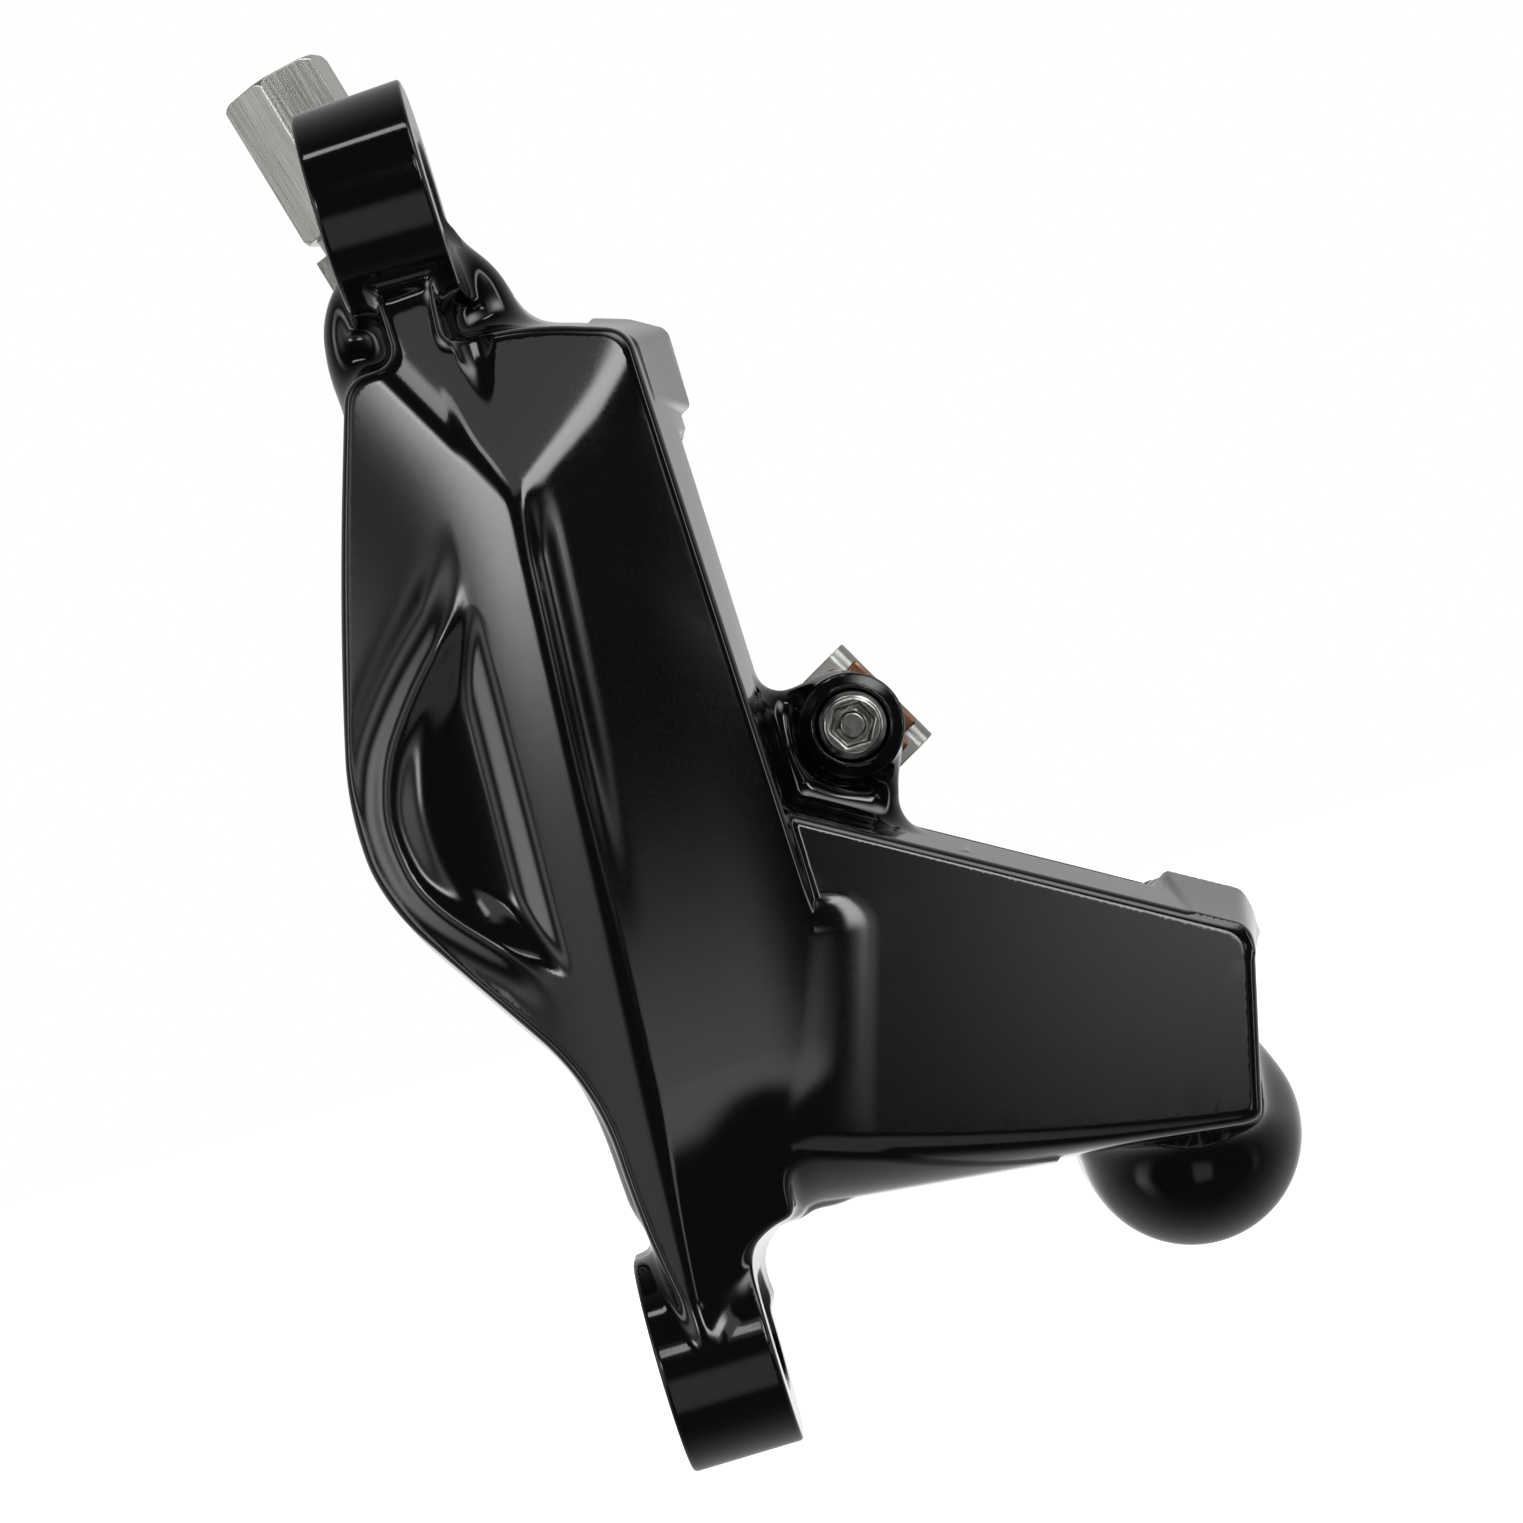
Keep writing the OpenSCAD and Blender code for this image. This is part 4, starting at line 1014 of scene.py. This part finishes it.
@dataclass(frozen=True)
class RibRing:
    """Ring of equal ribs round a head or a cover, repeated by Geometry Nodes; sizes in mm."""

    name: str
    node: str
    slot: str
    finish: DrawnMetal | Moulded
    centre: Pair
    low: float
    high: float
    radius: float
    rib_r: float
    count: int

    def tree(self, material: bpy.types.Material) -> bpy.types.NodeTree:
        """Builds the node tree that repeats one rib, with its sizes as named inputs."""
        group = bpy.data.node_groups.new(self.name + "_repeat", "GeometryNodeTree")
        kinds = {"Count": "NodeSocketInt", "Radius": "NodeSocketFloat", "Rib radius": "NodeSocketFloat",
                 "Rib length": "NodeSocketFloat", "Place": "NodeSocketVector"}
        for label, kind in kinds.items():
            group.interface.new_socket(label, in_out="INPUT", socket_type=kind)
        group.interface.new_socket("Geometry", in_out="OUTPUT", socket_type="NodeSocketGeometry")
        given = add(group, "NodeGroupInput").outputs
        ring = add(group, "GeometryNodeMeshCircle", {"Vertices": given["Count"], "Radius": given["Radius"]})
        rib = add(group, "GeometryNodeMeshCylinder", {
            "Vertices": 10, "Radius": given["Rib radius"], "Depth": given["Rib length"]})
        ribs = add(group, "GeometryNodeInstanceOnPoints", {
            "Points": ring.outputs[0], "Instance": rib.outputs[0]})
        laid = add(group, "GeometryNodeTransform", {
            "Geometry": ribs.outputs[0], "Translation": given["Place"], "Rotation": (math.pi / 2, 0.0, 0.0)})
        real = add(group, "GeometryNodeRealizeInstances", {0: laid.outputs[0]})
        coated = add(group, "GeometryNodeSetMaterial", {"Geometry": real.outputs[0], "Material": material})
        add(group, "NodeGroupOutput", {0: coated.outputs[0]})
        return group

    def build(self) -> None:
        """Repeats the rib, keeps the result as a plain mesh and places it."""
        material = self.finish.make()
        made = placed(self.name, bpy.data.meshes.new(self.name))
        repeat = made.modifiers.new("repeat", "NODES")
        repeat.node_group = self.tree(material)
        middle = POST_OFFSET + (self.low + self.high) / 2
        values = {"Count": self.count, "Radius": self.radius * MM, "Rib radius": self.rib_r * MM,
                  "Rib length": (self.high - self.low) * MM,
                  "Place": (self.centre[0] * MM, middle * MM, self.centre[1] * MM)}
        for item in repeat.node_group.interface.items_tree:
            if item.in_out == "INPUT":
                repeat[item.identifier] = values[item.name]
        baked(made)
        dress(made, material)
        settle_on(made, "caliper_body", [self.node], self.slot)


@dataclass
class Grips:
    """Knurled rims of the two cap bolts and the finger grip of the bleed cover."""

    rings: tuple[RibRing, ...] = (
        *(RibRing(f"{place}_bolt_knurl", "body_bolts", "bolt_black", OXIDE, c, 11.5, 15.2, 4.2, 0.1, 48)
          for place, c in zip(PLACES, Forging.bolts)),
        RibRing("bleed_cover_grip", "bleed_cover", "cover_rubber", SOFT_COVER, InboardHalf.bleed,
                16.1, 16.5, 5.15, 0.28, 30),
    )

    def build(self) -> None:
        """Builds the three rings of ribs."""
        for ring in self.rings:
            ring.build()


@dataclass
class PadSpring:
    """Folded sheet spring: each leg runs from the fold to its pad, and the two legs are copied apart at the
    fold's middle.
    """

    forging: Forging = field(default_factory=Forging)
    fold_reach: float = 3.4
    leg_reach: float = -7.0

    def build(self) -> None:
        """Builds the outboard and the inboard leg, closed at the fold's middle."""
        steel = STRIP_STEEL.make()
        start = self.forging.at(self.forging.pin_reach + self.fold_reach - 1.3, 0.0)
        end = self.forging.at(self.forging.pin_reach + self.leg_reach, 0.0)
        for side, body in ((Side.OUTBOARD, "outboard_pad"), (Side.INBOARD, "inboard_pad")):
            name = f"pad_spring_{side.name.lower()}"
            made = EdgedCopy(0.08, 1, 40.0, side).make(name, "pad_spring")
            dress(made, steel)
            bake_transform(made)
            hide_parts("pad_spring")
            LOG.info("%s bends between caliper_body and %s", name, body)


@dataclass(frozen=True)
class Softbox:
    """Soft light at a bearing about the outboard side, in degrees to the right and up, with its half size.

    A power of 1 fades out softly from the middle, and a high power has the clear edge of a box.
    """

    right_deg: float
    up_deg: float
    half_right: float
    half_up: float
    radiance: float
    power: float = 1.0


@dataclass
class Studio:
    """Camera, floor, backdrop light and softboxes."""

    roll: float = math.radians(16.6)
    eye: tuple[float, float, float] = (16.5, -289.0, -2.95)
    lens_mm: float = 109.7
    sensor_mm: float = 36.0
    floor_z: float = -0.15
    floor_half: float = 3.0
    lamp_watts: float = 1.2
    lamp_size: Pair = (0.5, 0.3)
    lamp_way: tuple[float, float, float] = (0.1, -0.55, 0.83)
    lamp_reach: float = 0.6
    front_radiance: float = 0.03
    back_radiance: float = 0.5
    back_depth: Pair = (-0.4, 0.7)
    boxes: tuple[Softbox, ...] = (
        Softbox(7.6, 19.0, 9.5, 8.0, 1.0, 6.0),
        Softbox(-3.0, 18.8, 2.2, 3.8, 5.0, 4.0),
        Softbox(-6.0, 63.5, 12.0, 2.6, 6.0, 4.0),
        Softbox(-3.0, -28.0, 9.0, 18.0, 0.5, 4.0),
        Softbox(-25.5, 7.0, 3.8, 3.2, 10.0, 1.2),
        Softbox(-27.0, -1.0, 6.0, 12.0, 0.9, 1.0),
        Softbox(-46.0, 6.0, 9.0, 14.0, 1.6, 1.0),
        Softbox(15.0, 12.0, 3.0, 9.5, 9.0, 3.0),
        Softbox(21.5, -8.0, 4.0, 5.0, 1.5, 2.0),
        Softbox(11.5, 3.0, 3.5, 3.5, 1.3, 1.0),
        Softbox(29.0, 1.7, 3.5, 1.6, 2.6, 1.0),
        Softbox(46.0, 41.0, 15.0, 13.0, 5.0, 1.5),
        Softbox(-72.0, 5.0, 7.0, 30.0, 3.0, 1.5),
        Softbox(68.0, 8.0, 4.0, 30.0, 4.0, 1.5),
        Softbox(180.0, -10.0, 50.0, 9.0, 0.6, 1.0),
    )

    def axes(self) -> tuple[Vector, Vector, Vector]:
        """The camera's right, up and backward directions."""
        c, s = math.cos(self.roll), math.sin(self.roll)
        return Vector((c, 0, -s)), Vector((s, 0, c)), Vector((0, -1, 0))

    def camera(self) -> None:
        """Places the camera outboard of the caliper, turned about the axle."""
        right, up, back = self.axes()
        data = bpy.data.cameras.new("camera")
        data.lens = self.lens_mm
        data.sensor_width = self.sensor_mm
        data.clip_start = 0.01
        made = placed("camera", data)
        turn = Matrix((right, up, back)).transposed().to_4x4()
        made.matrix_world = Matrix.Translation(Vector(self.eye) * MM) @ turn
        bpy.context.scene.camera = made

    def lamp(self) -> None:
        """Adds the one area light above, which lights what is matt."""
        data = bpy.data.lights.new("top_box", "AREA")
        data.shape = "RECTANGLE"
        data.size, data.size_y = self.lamp_size
        data.energy = self.lamp_watts
        made = placed("top_box", data)
        way = Vector(self.lamp_way).normalized()
        turn = way.to_track_quat("Z", "Y").to_matrix().to_4x4()
        made.matrix_world = Matrix.Translation(way * self.lamp_reach) @ turn
        made.visible_glossy = False

    def glow(self, tree: bpy.types.NodeTree, way: bpy.types.NodeSocket, box: Softbox) -> bpy.types.NodeSocket:
        """Radiance of one softbox as a function of direction."""
        a, b = math.radians(box.right_deg), math.radians(box.up_deg)
        middle = Vector((math.sin(a) * math.cos(b), -math.cos(a) * math.cos(b), math.sin(b)))
        right = Vector((math.cos(a), math.sin(a), 0.0))
        up = right.cross(middle)
        parts = []
        for axis, half in ((right, box.half_right), (up, box.half_up)):
            dot = add(tree, "ShaderNodeVectorMath", {0: way, 1: axis}, operation="DOT_PRODUCT")
            size = add(tree, "ShaderNodeMath", {0: dot.outputs["Value"], 1: math.sin(math.radians(half))},
                       operation="DIVIDE")
            even = add(tree, "ShaderNodeMath", {0: size.outputs[0]}, operation="ABSOLUTE")
            faded = add(tree, "ShaderNodeMath", {0: even.outputs[0], 1: 2 * box.power}, operation="POWER")
            parts.append(faded.outputs[0])
        both = add(tree, "ShaderNodeMath", {0: parts[0], 1: parts[1]}, operation="ADD")
        ahead = add(tree, "ShaderNodeVectorMath", {0: way, 1: middle}, operation="DOT_PRODUCT")
        side = add(tree, "ShaderNodeMath", {0: ahead.outputs["Value"], 1: 0.0}, operation="GREATER_THAN")
        value = both.outputs[0]
        for kind, other in (("MULTIPLY", -1.0), ("EXPONENT", 0.0), ("MULTIPLY", side.outputs[0]),
                            ("MULTIPLY", box.radiance)):
            value = add(tree, "ShaderNodeMath", {0: value, 1: other}, operation=kind).outputs[0]
        return value

    def backdrop(self) -> None:
        """Surroundings light behind the caliper and dark before it, with the softboxes; white to the camera."""
        world = bpy.data.worlds.new("studio")
        world.use_nodes = True
        bpy.context.scene.world = world
        tree = world.node_tree
        tree.nodes.clear()
        place = add(tree, "ShaderNodeTexCoord")
        way = place.outputs["Generated"]
        parts = add(tree, "ShaderNodeSeparateXYZ", {0: way})
        start, full = self.back_depth
        back = add(tree, "ShaderNodeMapRange", {
            "Value": parts.outputs[1], "From Min": start, "From Max": full,
            "To Min": self.front_radiance, "To Max": self.back_radiance}, interpolation_type="SMOOTHSTEP")
        total = back.outputs[0]
        for box in self.boxes:
            glow = self.glow(tree, way, box)
            total = add(tree, "ShaderNodeMath", {0: total, 1: glow}, operation="ADD").outputs[0]
        around = add(tree, "ShaderNodeBackground", {"Color": (1, 1, 1, 1), "Strength": total})
        white = add(tree, "ShaderNodeBackground", {"Color": (1, 1, 1, 1), "Strength": 1.0})
        ray = add(tree, "ShaderNodeLightPath")
        mixed = add(tree, "ShaderNodeMixShader", {
            0: ray.outputs["Is Camera Ray"], 1: around.outputs[0], 2: white.outputs[0]})
        add(tree, "ShaderNodeOutputWorld", {"Surface": mixed.outputs[0]})

    def floor(self) -> None:
        """Plain pale floor below the caliper."""
        half = self.floor_half
        corners = [(-half, -half), (half, -half), (half, half), (-half, half)]
        mesh = bpy.data.meshes.new("floor")
        mesh.from_pydata([(x, y, self.floor_z) for x, y in corners], [], [(0, 1, 2, 3)])
        made = placed("floor", mesh)
        material, tree = fresh_material("pale_floor")
        cloud = grain(tree, 40.0, 2.0)
        close(tree, {
            "Base Color": tint(tree, cloud, "#f4f4f4", "#f8f8f8"), "Roughness": 0.9,
            "Emission Color": (1, 1, 1, 1), "Emission Strength": 0.85})
        dress(made, material)
        made.visible_glossy = False
        made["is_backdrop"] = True

    def build(self) -> None:
        """Sets up the whole studio."""
        self.camera()
        self.backdrop()
        self.floor()
        self.lamp()
        bpy.context.scene.view_settings.view_transform = "Standard"
        LOG.info("studio with %d softboxes", len(self.boxes))


def write_sizes() -> None:
    boxes = {"cad": CAD_BOX, "visual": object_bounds()}
    plain = {name: [[round(float(v), 6) for v in corner] for corner in box] for name, box in boxes.items()}


def main() -> None:
    """Builds the studio and every sub-assembly in order."""
    logging.basicConfig(level=logging.INFO, format="%(name)s: %(message)s")
    Studio().build()
    Body().build()
    SmallPieces().build()
    Grips().build()
    PadSpring().build()
    write_sizes()


if __name__ == "__main__":
    main()
